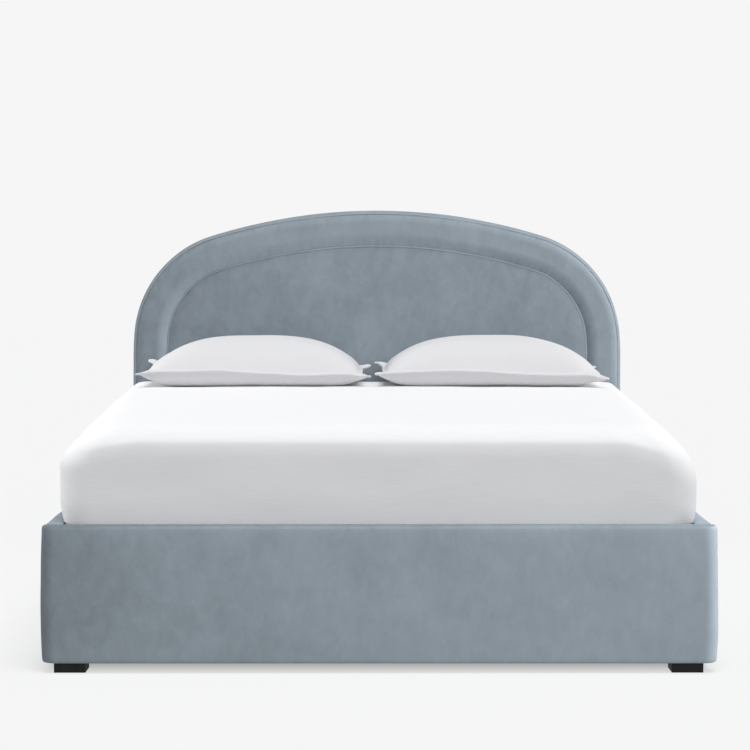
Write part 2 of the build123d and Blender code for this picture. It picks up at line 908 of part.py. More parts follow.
# Centre beam: a timber under the slats, standing in a steel hanger at each end
beam_front_y = foot_board_inner_y + hanger_plate + touch_gap
beam_back_y = lower_cover_y - hanger_plate - touch_gap
leg_places = (-leg_spread / 2, leg_spread / 2)
with BuildPart() as beam:
    box_between(
        (-beam_width / 2, beam_front_y, beam_bottom_z),
        (beam_width / 2, beam_back_y, slat_bottom_z),
    )
    with Locations(*[Plane(origin=(0, y, beam_bottom_z), z_dir=(0, 0, -1)) for y in leg_places]):
        Cylinder(
            leg_stud_radius + screw_clearance,
            leg_stud_length + screw_clearance,
            align=(Align.CENTER, Align.CENTER, Align.MAX),
            mode=Mode.SUBTRACT,
        )
keep(beam, "centre_beam")

# Beam hangers: a steel back plate with a three-sided pocket for the beam's end
hanger_inner_half = beam_width / 2 + touch_gap
hanger_outer_half = hanger_inner_half + hanger_plate
hanger_bottom_z = beam_bottom_z - hanger_plate
hanger_ends = (
    (foot_board_inner_y, 1, foot_hanger_planes),
    (lower_cover_y, -1, head_hanger_planes),
)
with BuildPart() as hangers:
    for wall_y, inward, planes in hanger_ends:
        plate_y = wall_y + inward * hanger_plate
        reach_y = wall_y + inward * hanger_reach
        box_between(
            (-hanger_width / 2, min(wall_y, plate_y), hanger_bottom_z),
            (hanger_width / 2, max(wall_y, plate_y), slat_bottom_z),
        )
        box_between(
            (-hanger_outer_half, min(plate_y, reach_y), hanger_bottom_z),
            (hanger_outer_half, max(plate_y, reach_y), slat_bottom_z),
        )
        box_between(
            (-hanger_inner_half, min(plate_y, reach_y + inward * cut_overrun), beam_bottom_z),
            (
                hanger_inner_half,
                max(plate_y, reach_y + inward * cut_overrun),
                slat_bottom_z + cut_overrun,
            ),
            mode=Mode.SUBTRACT,
        )
        screws(planes, screw_clearance, mode=Mode.SUBTRACT)
keep(hangers, "beam_hangers")

# Centre legs: tapered posts with a steel stud screwed up into the beam
for label, y in zip(("front", "rear"), leg_places):
    with BuildPart() as leg:
        with BuildSketch(Plane.XY):
            with Locations((0, y)):
                Rectangle(leg_foot_width, leg_foot_width)
        with BuildSketch(Plane.XY.offset(beam_bottom_z)):
            with Locations((0, y)):
                Rectangle(leg_top_width, leg_top_width)
        loft(ruled=True)
        with BuildSketch(Plane.XY.offset(beam_bottom_z)):
            with Locations((0, y)):
                Circle(leg_stud_radius)
        extrude(amount=leg_stud_length)
    keep(leg, f"centre_leg_{label}")

# Block feet under the four corners
foot_middle_x = rail_outer_x - foot_side_inset - foot_size / 2
foot_places = {
    "front": foot_face_y + foot_front_inset + foot_size / 2,
    "rear": headboard_back_y - foot_rear_inset - foot_size / 2,
}
foot_screw_planes = {
    "front": front_foot_screw_planes,
    "rear": rear_foot_screw_planes,
}
for end, y in foot_places.items():
    for label, side in sides.items():
        with BuildPart() as foot:
            with BuildSketch():
                with Locations((side * foot_middle_x, y)):
                    Rectangle(foot_size, foot_size)
            extrude(amount=foot_height)
            chamfer(foot.edges().filter_by(Axis.Z), length=foot_edge_chamfer)
            screws(
                foot_screw_planes[end][side],
                screw_clearance,
                access=foot_screw_recess + cut_overrun,
                mode=Mode.SUBTRACT,
            )
        keep(foot, f"foot_{end}_{label}")

# Fasteners: every wood screw, every bolt and every threaded insert
with BuildPart() as wood_screws:
    for planes in slat_screw_planes.values():
        screws(planes)
    for side in sides.values():
        screws(ledger_screw_planes[side])
        screws(bracket_screw_planes[side])
        screws(front_foot_screw_planes[side])
        screws(rear_foot_screw_planes[side])
    screws(foot_hanger_planes)
    screws(head_hanger_planes)
keep(wood_screws, "wood_screws")

all_bolt_planes = [plane for side in sides.values() for plane in foot_bolt_planes[side]]
all_bolt_planes += [plane for side in sides.values() for plane in head_bolt_planes[side]]
with BuildPart() as frame_bolts:
    with Locations(*all_bolt_planes):
        Cylinder(bolt_radius, bolt_length, align=(Align.CENTER, Align.CENTER, Align.MAX))
        Cylinder(
            bolt_head_radius, bolt_head_height, align=(Align.CENTER, Align.CENTER, Align.MIN)
        )
keep(frame_bolts, "frame_bolts")

with BuildPart() as inserts:
    with Locations(*all_bolt_planes):
        with Locations((0, 0, -bolt_length)):
            Cylinder(
                insert_radius, insert_length, align=(Align.CENTER, Align.CENTER, Align.MIN)
            )
            Cylinder(
                bolt_radius + insert_clearance,
                insert_length,
                align=(Align.CENTER, Align.CENTER, Align.MIN),
                mode=Mode.SUBTRACT,
            )
keep(inserts, "threaded_inserts")


def mattress_level(z, inset):
    """Rounded outline of the mattress at one height; it may swell except at the head end."""
    foot_y = mattress_foot_y + inset
    head_y = mattress_head_y - max(inset, 0)
    radius = mattress_corner_radius - min(max(inset, 0), mattress_corner_radius / 3)
    with BuildSketch(Plane.XY.offset(z)) as level:
        with Locations((0, (foot_y + head_y) / 2)):
            RectangleRounded(mattress_width - 2 * inset, head_y - foot_y, radius)
    return level.sketch


def mattress_block(shrink, mode=Mode.ADD):
    """Mattress body: straight between the rails, swelling above them, with a rolled top edge."""
    bottom_z = slat_top_z + shrink
    straight_z = rail_top_z + mattress_straight_over_rail
    roll_z = mattress_top_z - mattress_roll_radius
    radius = mattress_roll_radius - shrink
    low_z = bottom_z + mattress_bottom_radius / 2
    low_level = mattress_level(low_z, shrink)
    loft(
        [mattress_level(bottom_z, shrink + mattress_bottom_radius / 2), low_level],
        ruled=True,
        mode=mode,
    )
    extrude(low_level, amount=straight_z - low_z, mode=mode)
    levels = []
    for step in range(mattress_bulge_steps + 1):
        rise_share = step / mattress_bulge_steps
        swell = mattress_bulge * math.sin(rise_share * math.pi / 2)
        levels.append(
            mattress_level(straight_z + mattress_bulge_rise * rise_share, shrink - swell)
        )
    for step in range(mattress_roll_steps):
        angle = step / mattress_roll_steps * math.pi / 2
        inset = shrink - mattress_bulge + radius * (1 - math.cos(angle))
        z = roll_z + radius * math.sin(angle) - mattress_crown_drop
        levels.append(mattress_level(z, inset))
    levels.append(mattress_level(mattress_top_z - shrink, shrink + mattress_crown_inset))
    loft(levels, ruled=True, mode=mode)


# Mattress: a spring core and a comfort layer inside a fitted cover
comfort_bottom_z = mattress_top_z - mattress_cover - mattress_comfort_thickness
with BuildPart() as mattress_core:
    mattress_block(mattress_cover)
    split(bisect_by=Plane.XY.offset(comfort_bottom_z), keep=Keep.BOTTOM)
keep(mattress_core, "mattress_spring_core")

with BuildPart() as mattress_comfort:
    mattress_block(mattress_cover)
    split(bisect_by=Plane.XY.offset(comfort_bottom_z), keep=Keep.TOP)
keep(mattress_comfort, "mattress_comfort_layer")

with BuildPart() as mattress_sheet:
    mattress_block(0)
    mattress_block(mattress_cover, mode=Mode.SUBTRACT)
keep(mattress_sheet, "mattress_cover")


def pillow_block(middle_x, shrink, tip_inset, mode=Mode.ADD):
    """Pillow body lofted along X through lens-shaped sections, thin at both ends."""
    half = pillow_width / 2 - tip_inset
    seam_z = mattress_top_z + pillow_seat_gap + pillow_bottom_rise
    middle_y = pad_front_y - pillow_headboard_gap - pillow_depth / 2
    stations = zip(pillow_station_shares, pillow_thickness_shares, pillow_depth_shares)
    sections = []
    for place_share, thick_share, deep_share in stations:
        half_depth = pillow_depth / 2 * deep_share - tip_inset
        top_z = seam_z + (pillow_top_rise - shrink) * thick_share
        bottom_z = seam_z - (pillow_bottom_rise - shrink) * thick_share
        with BuildSketch(Plane.YZ.offset(middle_x + half * place_share)) as section:
            with BuildLine():
                front = (middle_y - half_depth, seam_z)
                back = (middle_y + half_depth, seam_z)
                ThreePointArc(front, (middle_y, top_z), back)
                ThreePointArc(back, (middle_y, bottom_z), front)
            make_face()
        sections.append(section.sketch)
    loft(sections, mode=mode)


# Pillows: a soft fill inside a sewn case, side by side against the headboard
pillow_places = {"left": pillow_left_x, "right": pillow_right_x}
for label, middle_x in pillow_places.items():
    with BuildPart() as fill:
        pillow_block(middle_x, pillow_case_thickness, pillow_fill_tip_inset)
    keep(fill, f"pillow_fill_{label}")

    with BuildPart() as case:
        pillow_block(middle_x, 0, 0)
        pillow_block(
            middle_x, pillow_case_thickness, pillow_fill_tip_inset, mode=Mode.SUBTRACT
        )
    keep(case, f"pillow_case_{label}")
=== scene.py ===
# %% [markdown]
# # An upholstered bed, dressed in Blender
#
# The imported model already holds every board, slat, bolt and pad in its true place. This
# lesson dresses it: velvet over foam on the headboard and rails, a mattress in a knitted
# cover, two pillows and a stapled cloth behind the headboard. Every length is in metres,
# with the foot of the bed towards -Y and the headboard towards +Y.

# %% Load the frame
import json
import math

import bmesh
import bpy
import numpy as np
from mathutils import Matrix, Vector, noise


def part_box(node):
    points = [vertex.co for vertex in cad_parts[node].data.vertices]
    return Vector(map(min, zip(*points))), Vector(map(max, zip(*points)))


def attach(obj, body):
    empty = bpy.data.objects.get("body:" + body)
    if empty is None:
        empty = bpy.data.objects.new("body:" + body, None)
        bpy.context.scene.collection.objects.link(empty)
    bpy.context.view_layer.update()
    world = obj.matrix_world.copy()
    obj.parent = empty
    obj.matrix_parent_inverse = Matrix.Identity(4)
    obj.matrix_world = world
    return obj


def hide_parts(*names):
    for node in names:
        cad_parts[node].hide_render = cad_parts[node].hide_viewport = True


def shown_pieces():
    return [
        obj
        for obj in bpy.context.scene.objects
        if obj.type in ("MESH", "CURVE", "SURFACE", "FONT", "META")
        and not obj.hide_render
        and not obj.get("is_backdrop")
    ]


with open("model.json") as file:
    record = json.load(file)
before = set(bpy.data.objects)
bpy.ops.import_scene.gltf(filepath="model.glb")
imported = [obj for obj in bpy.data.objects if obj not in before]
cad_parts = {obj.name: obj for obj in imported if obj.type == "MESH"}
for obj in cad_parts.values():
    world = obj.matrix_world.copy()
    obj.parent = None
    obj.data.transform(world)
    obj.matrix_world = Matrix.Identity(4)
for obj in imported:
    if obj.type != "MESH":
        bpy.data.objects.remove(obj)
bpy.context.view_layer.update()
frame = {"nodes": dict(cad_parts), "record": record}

# %% [markdown]
# ## The camera
#
# A catalogue picture of a bed is taken from a few metres away with a long lens, so the
# sides hardly converge. The camera could be turned until the picture looks right, but
# here its place is worked out first: five and a half metres from the foot rail, at about
# chest height, tipped down by three degrees.

# %% Camera
camera_place = (-0.0156, -6.648, 1.0)
tipped_down, turned_right = math.radians(2.909), math.radians(0.0686)
bpy.ops.object.camera_add(
    location=camera_place, rotation=(math.pi / 2 - tipped_down, 0, -turned_right)
)
camera = bpy.context.object
camera.name = "bed_camera"
camera.data.sensor_width = 36
camera.data.lens = 112.18
bpy.context.scene.camera = camera
print("lens", round(camera.data.lens, 2), "mm")

# %% [markdown]
# ## Tools for making nodes
#
# Each finish is a small node network. A shader node group is the Blender way to share an
# effect: it is built once, with named sockets, and each material gives it its own values.
# The groups here put out only colours, masks and heights, and the shader stays outside.
# Nodes could be added and linked one line at a time, but that is long to read, so a few
# short ways to do it come first.


# %% Node tools
class NodeTools:
    """Short ways to build one node tree. A value is a number or another node's output."""

    def __init__(self, tree):
        self.tree = tree

    def fill(self, node, **inputs):
        """Fill a node's inputs by name, or by number where the key is like _0."""
        for key, value in inputs.items():
            name = key.replace("_", " ")
            socket = node.inputs[name if name in node.inputs else int(key[1:])]
            if isinstance(value, bpy.types.NodeSocket):
                self.tree.links.new(value, socket)
            else:
                socket.default_value = value
        return node

    def node(self, kind, settings=None, **inputs):
        """Add a node, set its options and fill its inputs."""
        made = self.tree.nodes.new("ShaderNode" + kind)
        for key, value in (settings or {}).items():
            setattr(made, key, value)
        return self.fill(made, **inputs)

    def group(self, shared, **inputs):
        """Place a node group that other tools built, and return its outputs."""
        return self.node("Group", {"node_tree": shared.tree}, **inputs).outputs

    def maths(self, operation, first, second=0.0):
        """A Math node's result."""
        return self.node("Math", {"operation": operation}, _0=first, _1=second).outputs[0]

    def plus(self, first, second):
        return self.maths("ADD", first, second)

    def times(self, first, second):
        return self.maths("MULTIPLY", first, second)

    def noise(self, vector, scale, detail=2.0, roughness=0.5, distortion=0.0):
        """A Noise texture's value."""
        return self.node("TexNoise", Vector=vector, Scale=scale, Detail=detail,
                         Roughness=roughness, Distortion=distortion).outputs["Fac"]

    def stretch(self, vector, scale):
        """A vector scaled by axis."""
        return self.node("Mapping", Vector=vector, Scale=scale).outputs[0]

    def spread(self, value, low, high, low_to, high_to):
        """A value moved from one range to another, and held inside it."""
        return self.node("MapRange", Value=value, From_Min=low, From_Max=high, To_Min=low_to,
                         To_Max=high_to).outputs[0]

    def blend(self, share, first, second):
        """Two colours mixed by a share."""
        return self.node("Mix", {"data_type": "RGBA", "clamp_factor": True}, _0=share, _6=first,
                         _7=second).outputs[2]

    def shade(self, colour, value):
        """A colour made lighter or darker."""
        return self.node("HueSaturation", Color=colour, Value=value, Saturation=1.0).outputs[0]

    def bump(self, height, strength, distance):
        """A normal from a height."""
        return self.node("Bump", Strength=strength, Distance=distance, Height=height).outputs[0]

    def place(self, kind="Object"):
        """Object coordinates, or with UV the piece's own cloth map in metres."""
        return self.node("TexCoord").outputs[kind]


def empty_tree(holder):
    """Tools for the emptied node tree of a material or a world."""
    holder.use_nodes = True
    holder.node_tree.nodes.clear()
    return NodeTools(holder.node_tree)


def new_material(name):
    """A material with an empty tree, its shader and its output."""
    made = bpy.data.materials.new(name)
    tools = empty_tree(made)
    shader = tools.node("BsdfPrincipled")
    tools.node("OutputMaterial", Surface=shader.outputs[0])
    return made, tools, shader


def new_group(name, inputs, outputs):
    """A shader node group: its tools, its input values and its output node."""
    tree = bpy.data.node_groups.new(name, "ShaderNodeTree")

    def socket(label, value, in_out):
        kind = {1: "Float", 3: "Vector", 4: "Color"}[np.size(value)]
        made = tree.interface.new_socket(label, in_out=in_out, socket_type="NodeSocket" + kind)
        made.default_value = value

    for label, value in inputs.items():
        socket(label, value, "INPUT")
    for label in outputs:
        socket(label, (0, 0, 0, 1) if label == "Colour" else 0.0, "OUTPUT")
    values = tree.nodes.new("NodeGroupInput").outputs
    return NodeTools(tree), values, tree.nodes.new("NodeGroupOutput")


def seen_directly(tools):
    """1 for a ray from the camera, also by a mirror or through glass, and 0 for light."""
    rays = tools.node("LightPath").outputs
    seen = tools.maths("MAXIMUM", rays["Is Camera Ray"], rays["Is Glossy Ray"])
    return tools.maths("MAXIMUM", seen, rays["Is Transmission Ray"])


# %% [markdown]
# ## Studio light
#
# A catalogue bed stands in a pale room under a large white panel, with soft boxes at its
# sides and in front. The panel is a sun lamp with a wide angle, because its light doesn't
# fall off along two metres of bed. The soft boxes fill the velvet, and two small ones
# brighten only the edges of the bedding. The white of the background isn't made by more
# light: the world shows a plain pale grey to the camera, and lights with another value.

# %% Lights and background
background = (0.921, 0.921, 0.921, 1)
room_colour, room_strength = (0.97, 0.985, 1.0, 1), 0.30


def soft_box(name, place, aim, size, power):
    """A large square lamp that looks at a point."""
    bpy.ops.object.light_add(type="AREA", location=place)
    lamp = bpy.context.object
    lamp.name = name
    lamp.data.shape = "SQUARE"
    lamp.data.size = size
    lamp.data.energy = power
    lamp.rotation_euler = (Vector(aim) - Vector(place)).to_track_quat("-Z", "Y").to_euler()
    return lamp


bed_boxes = [
    soft_box("soft_box_right", (4.4, 1.3, 0.9), (0, -0.3, 0.5), 2.4, 72),
    soft_box("soft_box_left", (-4.4, 1.3, 0.9), (0, -0.3, 0.5), 2.4, 72),
    soft_box("soft_box_front", (0.8, -7.6, 2.1), (0, -1.0, 0.4), 2.6, 79),
]
bedding_boxes = [
    soft_box("rim_box_left", (-4.3, -0.6, 0.95), (0, -0.6, 0.5), 1.6, 46),
    soft_box("rim_box_right", (4.3, -0.6, 0.95), (0, -0.6, 0.5), 1.6, 18),
]

bpy.ops.object.light_add(type="SUN", location=(1, -2, 4))
sky_panel = bpy.context.object
sky_panel.name = "overhead_panel"
sky_panel.data.energy = 2.35
sky_panel.data.angle = math.radians(40)
sky_panel.rotation_euler = Vector((0.14, -0.34, 1.0)).to_track_quat("Z", "Y").to_euler()

world = bpy.data.worlds.new("studio")
bpy.context.scene.world = world
studio = empty_tree(world)
room = studio.node("Background", Color=room_colour, Strength=room_strength)
paper = studio.node("Background", Color=background)
mixed = studio.node("MixShader", _0=seen_directly(studio), _1=room.outputs[0],
                    _2=paper.outputs[0])
studio.node("OutputWorld", Surface=mixed.outputs[0])
bpy.context.scene.view_settings.view_transform = "Standard"
print("lamps", [lamp.name for lamp in bed_boxes + bedding_boxes + [sky_panel]])

# %% [markdown]
# ## Velvet
#
# Velvet is a cloth of short upright hairs. Where a hand has brushed them one way the cloth
# looks lighter or darker, in soft patches, and the hairs catch light along every edge.
# A photograph of velvet could be wrapped round the pads, but noise in three sizes gives
# the patches, the brushed marks and the grain anywhere, with no seam between pieces.

# %% Velvet nap group with painted light, and material
nap, given, result = new_group(
    "velvet nap and painted light",
    {"Vector": (0, 0, 0), "Colour": (0.2, 0.24, 0.28, 1), "Patch": 0.12, "Patch Size": 4.0,
     "Lean": 0.0},
    ("Colour", "Roughness", "Height"),
)
place = given["Vector"]
patches = nap.noise(place, given["Patch Size"], 3.0, 0.55, 0.6)
marks = nap.noise(nap.stretch(place, (30, 30, 20)), 1.0, 4.0, 0.64, 0.5)
grain = nap.noise(place, 620.0, 2.0, 0.7)
patch_share, grain_share = 0.52, 0.175
both = nap.plus(nap.times(patches, patch_share), nap.times(marks, 1 - patch_share))
lean = nap.times(nap.spread(both, 0.32, 0.68, -1.0, 1.0), given["Patch"])
fine = nap.times(nap.maths("SUBTRACT", grain, 0.5), grain_share)
# The group's last input is painted light and shade from the piece, added to the random tone.
change = nap.plus(nap.plus(lean, fine), given["Lean"])
nap.fill(result, Colour=nap.shade(given["Colour"], nap.plus(change, 1.0)),
         Roughness=nap.spread(grain, 0.2, 0.8, 0.86, 1.0), Height=grain)


def velvet(name, colour, patch=0.12, patch_size=4.0):
    """Blue-grey velvet: a matt base, patches of brushed pile, painted light and shade, and a soft
    sheen.
    """
    made, tools, shader = new_material(name)
    # The piece's stored painted light and shade goes into the velvet's tone.
    lean = tools.node("Attribute", {"attribute_name": "painted_pile_light"}).outputs["Fac"]
    pile = tools.group(nap, Vector=tools.place(), Colour=colour, Patch=patch,
                       Patch_Size=patch_size, Lean=lean)
    tools.fill(
        shader, Base_Color=pile["Colour"], Roughness=pile["Roughness"], Specular_IOR_Level=0.12,
        Sheen_Weight=0.1, Sheen_Roughness=0.4, Sheen_Tint=(0.72, 0.8, 0.88, 1),
        Normal=tools.bump(pile["Height"], 0.35, 0.0008),
    )
    return made


bed_velvet = velvet("blue_grey_velvet", (0.333, 0.388, 0.435, 1))
# The welt velvet is a lighter copy of the same velvet: a painted highlight.
welt_velvet_painted_highlight = velvet("blue_grey_welt_velvet_painted_highlight", (0.38, 0.445, 0.50, 1), 0.06, 14.0)
print("materials", bed_velvet.name, welt_velvet_painted_highlight.name)

# %% [markdown]
# ## White cloths
#
# The mattress has a knitted cover with thin uneven yarns that run across it, and the
# pillowcases are plain cotton. Both are woven or knitted threads, so one group makes
# them: fine lines both ways, with a few thicker yarns picked out by stretched noise.

# %% Woven cloth group and the white materials
woven, given, result = new_group(
    "woven cloth",
    {"Vector": (0, 0, 0), "Colour": (0.8, 0.8, 0.8, 1), "Threads": 900.0, "Slub": 0.3},
    ("Colour", "Height"),
)
place = given["Vector"]
split_place = woven.node("SeparateXYZ", Vector=place).outputs
across, along = [woven.maths("SINE", woven.times(split_place[axis], given["Threads"]))
                 for axis in (0, 1)]
slub = woven.noise(woven.stretch(place, (14, 420, 14)), 1.0, 3.0, 0.65)
ribs = woven.noise(woven.stretch(place, (35, 900, 35)), 1.0, 2.0, 0.6)
thick = woven.times(woven.spread(slub, 0.42, 0.72, 0.0, 1.0), given["Slub"])
weave = woven.times(woven.times(across, along), 0.25)
tone = woven.maths("SUBTRACT", 1.0, woven.times(thick, 0.12))
woven.fill(result, Colour=woven.shade(given["Colour"], tone),
           Height=woven.plus(weave, woven.plus(woven.times(ribs, 0.5), thick)))


def white_cloth(name, colour, threads, slub, strength):
    """A pale matt cloth with threads and slubs."""
    made, tools, shader = new_material(name)
    cloth = tools.group(woven, Vector=tools.place("UV"), Colour=colour, Threads=threads,
                        Slub=slub)
    tools.fill(
        shader, Base_Color=cloth["Colour"], Roughness=0.92, Specular_IOR_Level=0.2,
        Sheen_Weight=0.08, Normal=tools.bump(cloth["Height"], strength, 0.0006),
    )
    return made


mattress_knit = white_cloth("mattress_knit", (0.835, 0.835, 0.845, 1), 1500, 0.34, 0.19)
pillow_cotton = white_cloth("pillow_cotton", (0.657, 0.655, 0.672, 1), 2600, 0.1, 0.25)
print("materials", mattress_knit.name, pillow_cotton.name)

# %% [markdown]
# ## Timber, paint and metal
#
# Pine and plywood share one grain group: rings are noise stretched along the board, so
# each board gets its own direction. Painted feet use the same grain, faint, under black.
# Bolts and brackets are metal with a fine rubbed finish.

# %% Wood grain group and the hard materials
wood_grain, given, result = new_group(
    "wood grain",
    {"Vector": (0, 0, 0), "Light": (0.7, 0.5, 0.3, 1), "Dark": (0.5, 0.33, 0.18, 1),
     "Scale": 1.0},
    ("Colour", "Height"),
)
place = given["Vector"]
rings = wood_grain.noise(place, wood_grain.times(given["Scale"], 9.0), 2.0, 0.45, 0.7)
bands = wood_grain.maths("PINGPONG", wood_grain.times(rings, 9.0), 1.0)
fibres = wood_grain.noise(place, wood_grain.times(given["Scale"], 95.0), 3.0, 0.6)
mixed = wood_grain.plus(wood_grain.times(bands, 0.6), wood_grain.times(fibres, 0.4))
wood_grain.fill(result, Colour=wood_grain.blend(mixed, given["Light"], given["Dark"]),
                Height=mixed)
grain_stretch = {"x": (0.05, 1, 1), "y": (1, 0.05, 1), "z": (1, 1, 0.05)}


def timber(name, light, dark, axis, roughness=0.6, scale=1.0, strength=0.2, shine=0.5):
    """Timber whose grain runs along one axis."""
    made, tools, shader = new_material(name)
    wood = tools.group(wood_grain, Vector=tools.stretch(tools.place(), grain_stretch[axis]),
                       Light=light, Dark=dark, Scale=scale)
    rough = tools.spread(wood["Height"], 0.0, 1.0, roughness - 0.06, roughness + 0.08)
    tools.fill(shader, Base_Color=wood["Colour"], Roughness=rough, Specular_IOR_Level=shine,
               Normal=tools.bump(wood["Height"], strength, 0.0004))
    return made


pine = {axis: timber(f"pine_along_{axis}", (0.62, 0.42, 0.22, 1), (0.45, 0.27, 0.12, 1), axis)
        for axis in "xyz"}
plywood = {axis: timber(f"plywood_along_{axis}", (0.6, 0.43, 0.25, 1), (0.47, 0.31, 0.16, 1),
                        axis, 0.65, 0.8) for axis in "xz"}
black_paint = timber("black_painted_wood", (0.016, 0.016, 0.016, 1), (0.012, 0.012, 0.012, 1),
                     "z", 0.6, 1.0, 0.12, 0.2)


def metal(name, colour, roughness, metallic=1.0, speckle=900.0):
    """Metal or coated metal with a fine uneven finish."""
    made, tools, shader = new_material(name)
    place = tools.place()
    fine, wide = tools.noise(place, speckle, 3.0, 0.6), tools.noise(place, 22.0)
    darker = tuple(c * 0.8 for c in colour[:3]) + (1,)
    tools.fill(
        shader, Base_Color=tools.blend(tools.spread(wide, 0.35, 0.65, 0.0, 0.35), colour, darker),
        Roughness=tools.spread(fine, 0.2, 0.8, roughness - 0.08, roughness + 0.1),
        Metallic=metallic, Normal=tools.bump(fine, 0.12, 0.0002),
    )
    return made


black_steel = metal("black_powder_coat", (0.02, 0.02, 0.022, 1), 0.5, 0.0, 1400.0)
zinc_steel = metal("zinc_plated_steel", (0.62, 0.64, 0.66, 1), 0.34)
brass = metal("insert_brass", (0.72, 0.52, 0.24, 1), 0.36)
print("hard materials", black_paint.name, black_steel.name, zinc_steel.name, brass.name)

# %% [markdown]
# ## Dressing the nodes that stay
#
# Boards, slats, feet, brackets and screws already have their right shapes, so they only
# need finishes. The grain follows each board's longest side, read from its box.


# %% Finishes on the CAD nodes
def finish_for(name, slot_name):
    """The material for one CAD node, from its slot and its longest side."""
    low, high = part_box(name)
    size = high - low
    axis = "xyz"[max(range(3), key=lambda i: size[i])]
    return {
        "pine": pine[axis], "plywood": plywood["x" if axis == "y" else axis],
        "black_wood": black_paint, "black_steel": black_steel, "zinc_steel": zinc_steel,
        "insert_brass": brass,
    }.get(slot_name)


slot_of = {part["node"]: part["material_slot"] for part in frame["record"]["subparts"]}
for node_name, node in frame["nodes"].items():
    chosen = finish_for(node_name, slot_of.get(node_name))
    if chosen:
        for material_slot in node.material_slots:
            material_slot.material = chosen
print("slots", sorted(set(slot_of.values())))

# %% [markdown]
# ## Soft pieces from rings
#
# Pads, rails and the mattress are all long skins: one outline carried along a path or
# built up in levels. Primitives pushed about by hand would give the same boxes, but the
# cloth's pull at seams and its slow waves need many points, so these skins are built from
# a grid of points, with a UV map in metres for the threads.


# %% Grid skins
def new_skin(name, points, faces, material):
    """A smooth closed piece with every face turned outwards."""
    mesh = bpy.data.meshes.new(name)
    mesh.from_pydata(points, [], faces)
    made = bpy.data.objects.new(name, mesh)
    bpy.context.scene.collection.objects.link(made)
    work = bmesh.new()
    work.from_mesh(mesh)
    bmesh.ops.recalc_face_normals(work, faces=work.faces)
    work.to_mesh(mesh)
    work.free()
    mesh.materials.append(material)
    mesh.shade_smooth()
    return made


def grid_skin(name, grid, material):
    """A skin from rings of points: each ring joins the next, and both ends are capped."""
    rings, count = len(grid), len(grid[0])
    faces = []
    for r in range(rings - 1):
        for c in range(count):
            d = (c + 1) % count
            faces.append((r * count + c, r * count + d, (r + 1) * count + d, (r + 1) * count + c))
    faces.append(tuple(range(count)))
    faces.append(tuple(range((rings - 1) * count, rings * count)))
    return new_skin(name, [tuple(spot) for ring in grid for spot in ring], faces, material)


def rounded_plan(half, front, back, radii, turns, fill):
    """A rounded rectangle from above, anticlockwise from its back right corner.

    Each corner has its radius and its number of turns, and fill says in how many parts the
    straight side after it is cut.
    """
    ring, parts_after = [], []
    corners = ((half, back), (-half, back), (-half, front), (half, front))
    for quarter, (x, y) in enumerate(corners):
        radius, count = radii[quarter], turns[quarter]
        cx = x - math.copysign(radius, x)
        cy = y - radius if y == back else y + radius
        for k in range(count + 1):
            angle = math.pi * (0.5 * quarter + 0.5 * k / count)
            ring.append((cx + radius * math.cos(angle), cy + radius * math.sin(angle)))
        parts_after += [1] * count + [fill[quarter]]
    plan = []
    for a, b, parts in zip(ring, ring[1:] + ring[:1], parts_after):
        plan += [(a[0] + (b[0] - a[0]) * k / parts, a[1] + (b[1] - a[1]) * k / parts)
                 for k in range(parts)]
    return plan


def box_cloth_map(piece):
    """Lay the cloth out in metres: flat on top faces, and round the sides on the others."""
    mesh = piece.data
    layer = mesh.uv_layers[0] if mesh.uv_layers else mesh.uv_layers.new(name="cloth")
    for face in mesh.polygons:
        n = face.normal
        for loop in face.loop_indices:
            x, y, z = mesh.vertices[mesh.loops[loop].vertex_index].co
            if abs(n.z) > 0.75:
                layer.data[loop].uv = (x, y)
            else:
                layer.data[loop].uv = (x, z) if abs(n.y) > abs(n.x) else (y, z)


def smooth_step(value, low, high):
    """0 below low, 1 above high, and a smooth rise between."""
    t = min(max((value - low) / (high - low), 0.0), 1.0)
    return t * t * (3 - 2 * t)


def between(first, last, parts):
    """Even steps from one value to another."""
    return [first + (last - first) * i / parts for i in range(parts + 1)]


def round_edge(steps, turn=math.pi / 2):
    """How far a round edge has gone along and in at each step, as shares of its radius."""
    angles = [turn * k / steps for k in range(1, steps + 1)]
    return [(math.sin(angle), 1 - math.cos(angle)) for angle in angles]


def noise_at(x, y, z):
    """Blender's own noise at one spot."""
    return noise.noise(Vector((x, y, z)))


def wave(piece, amount, size, seed, fade):
    """Move each point along its normal by slow noise; fade gives each point's share."""
    mesh = piece.data
    normals = [v.normal.copy() for v in mesh.vertices]
    for v, n in zip(mesh.vertices, normals):
        share = fade(v.co)
        if share:
            v.co += n * (amount * share * noise.noise(v.co / size + Vector((seed, 0, seed * 2))))
    mesh.update()


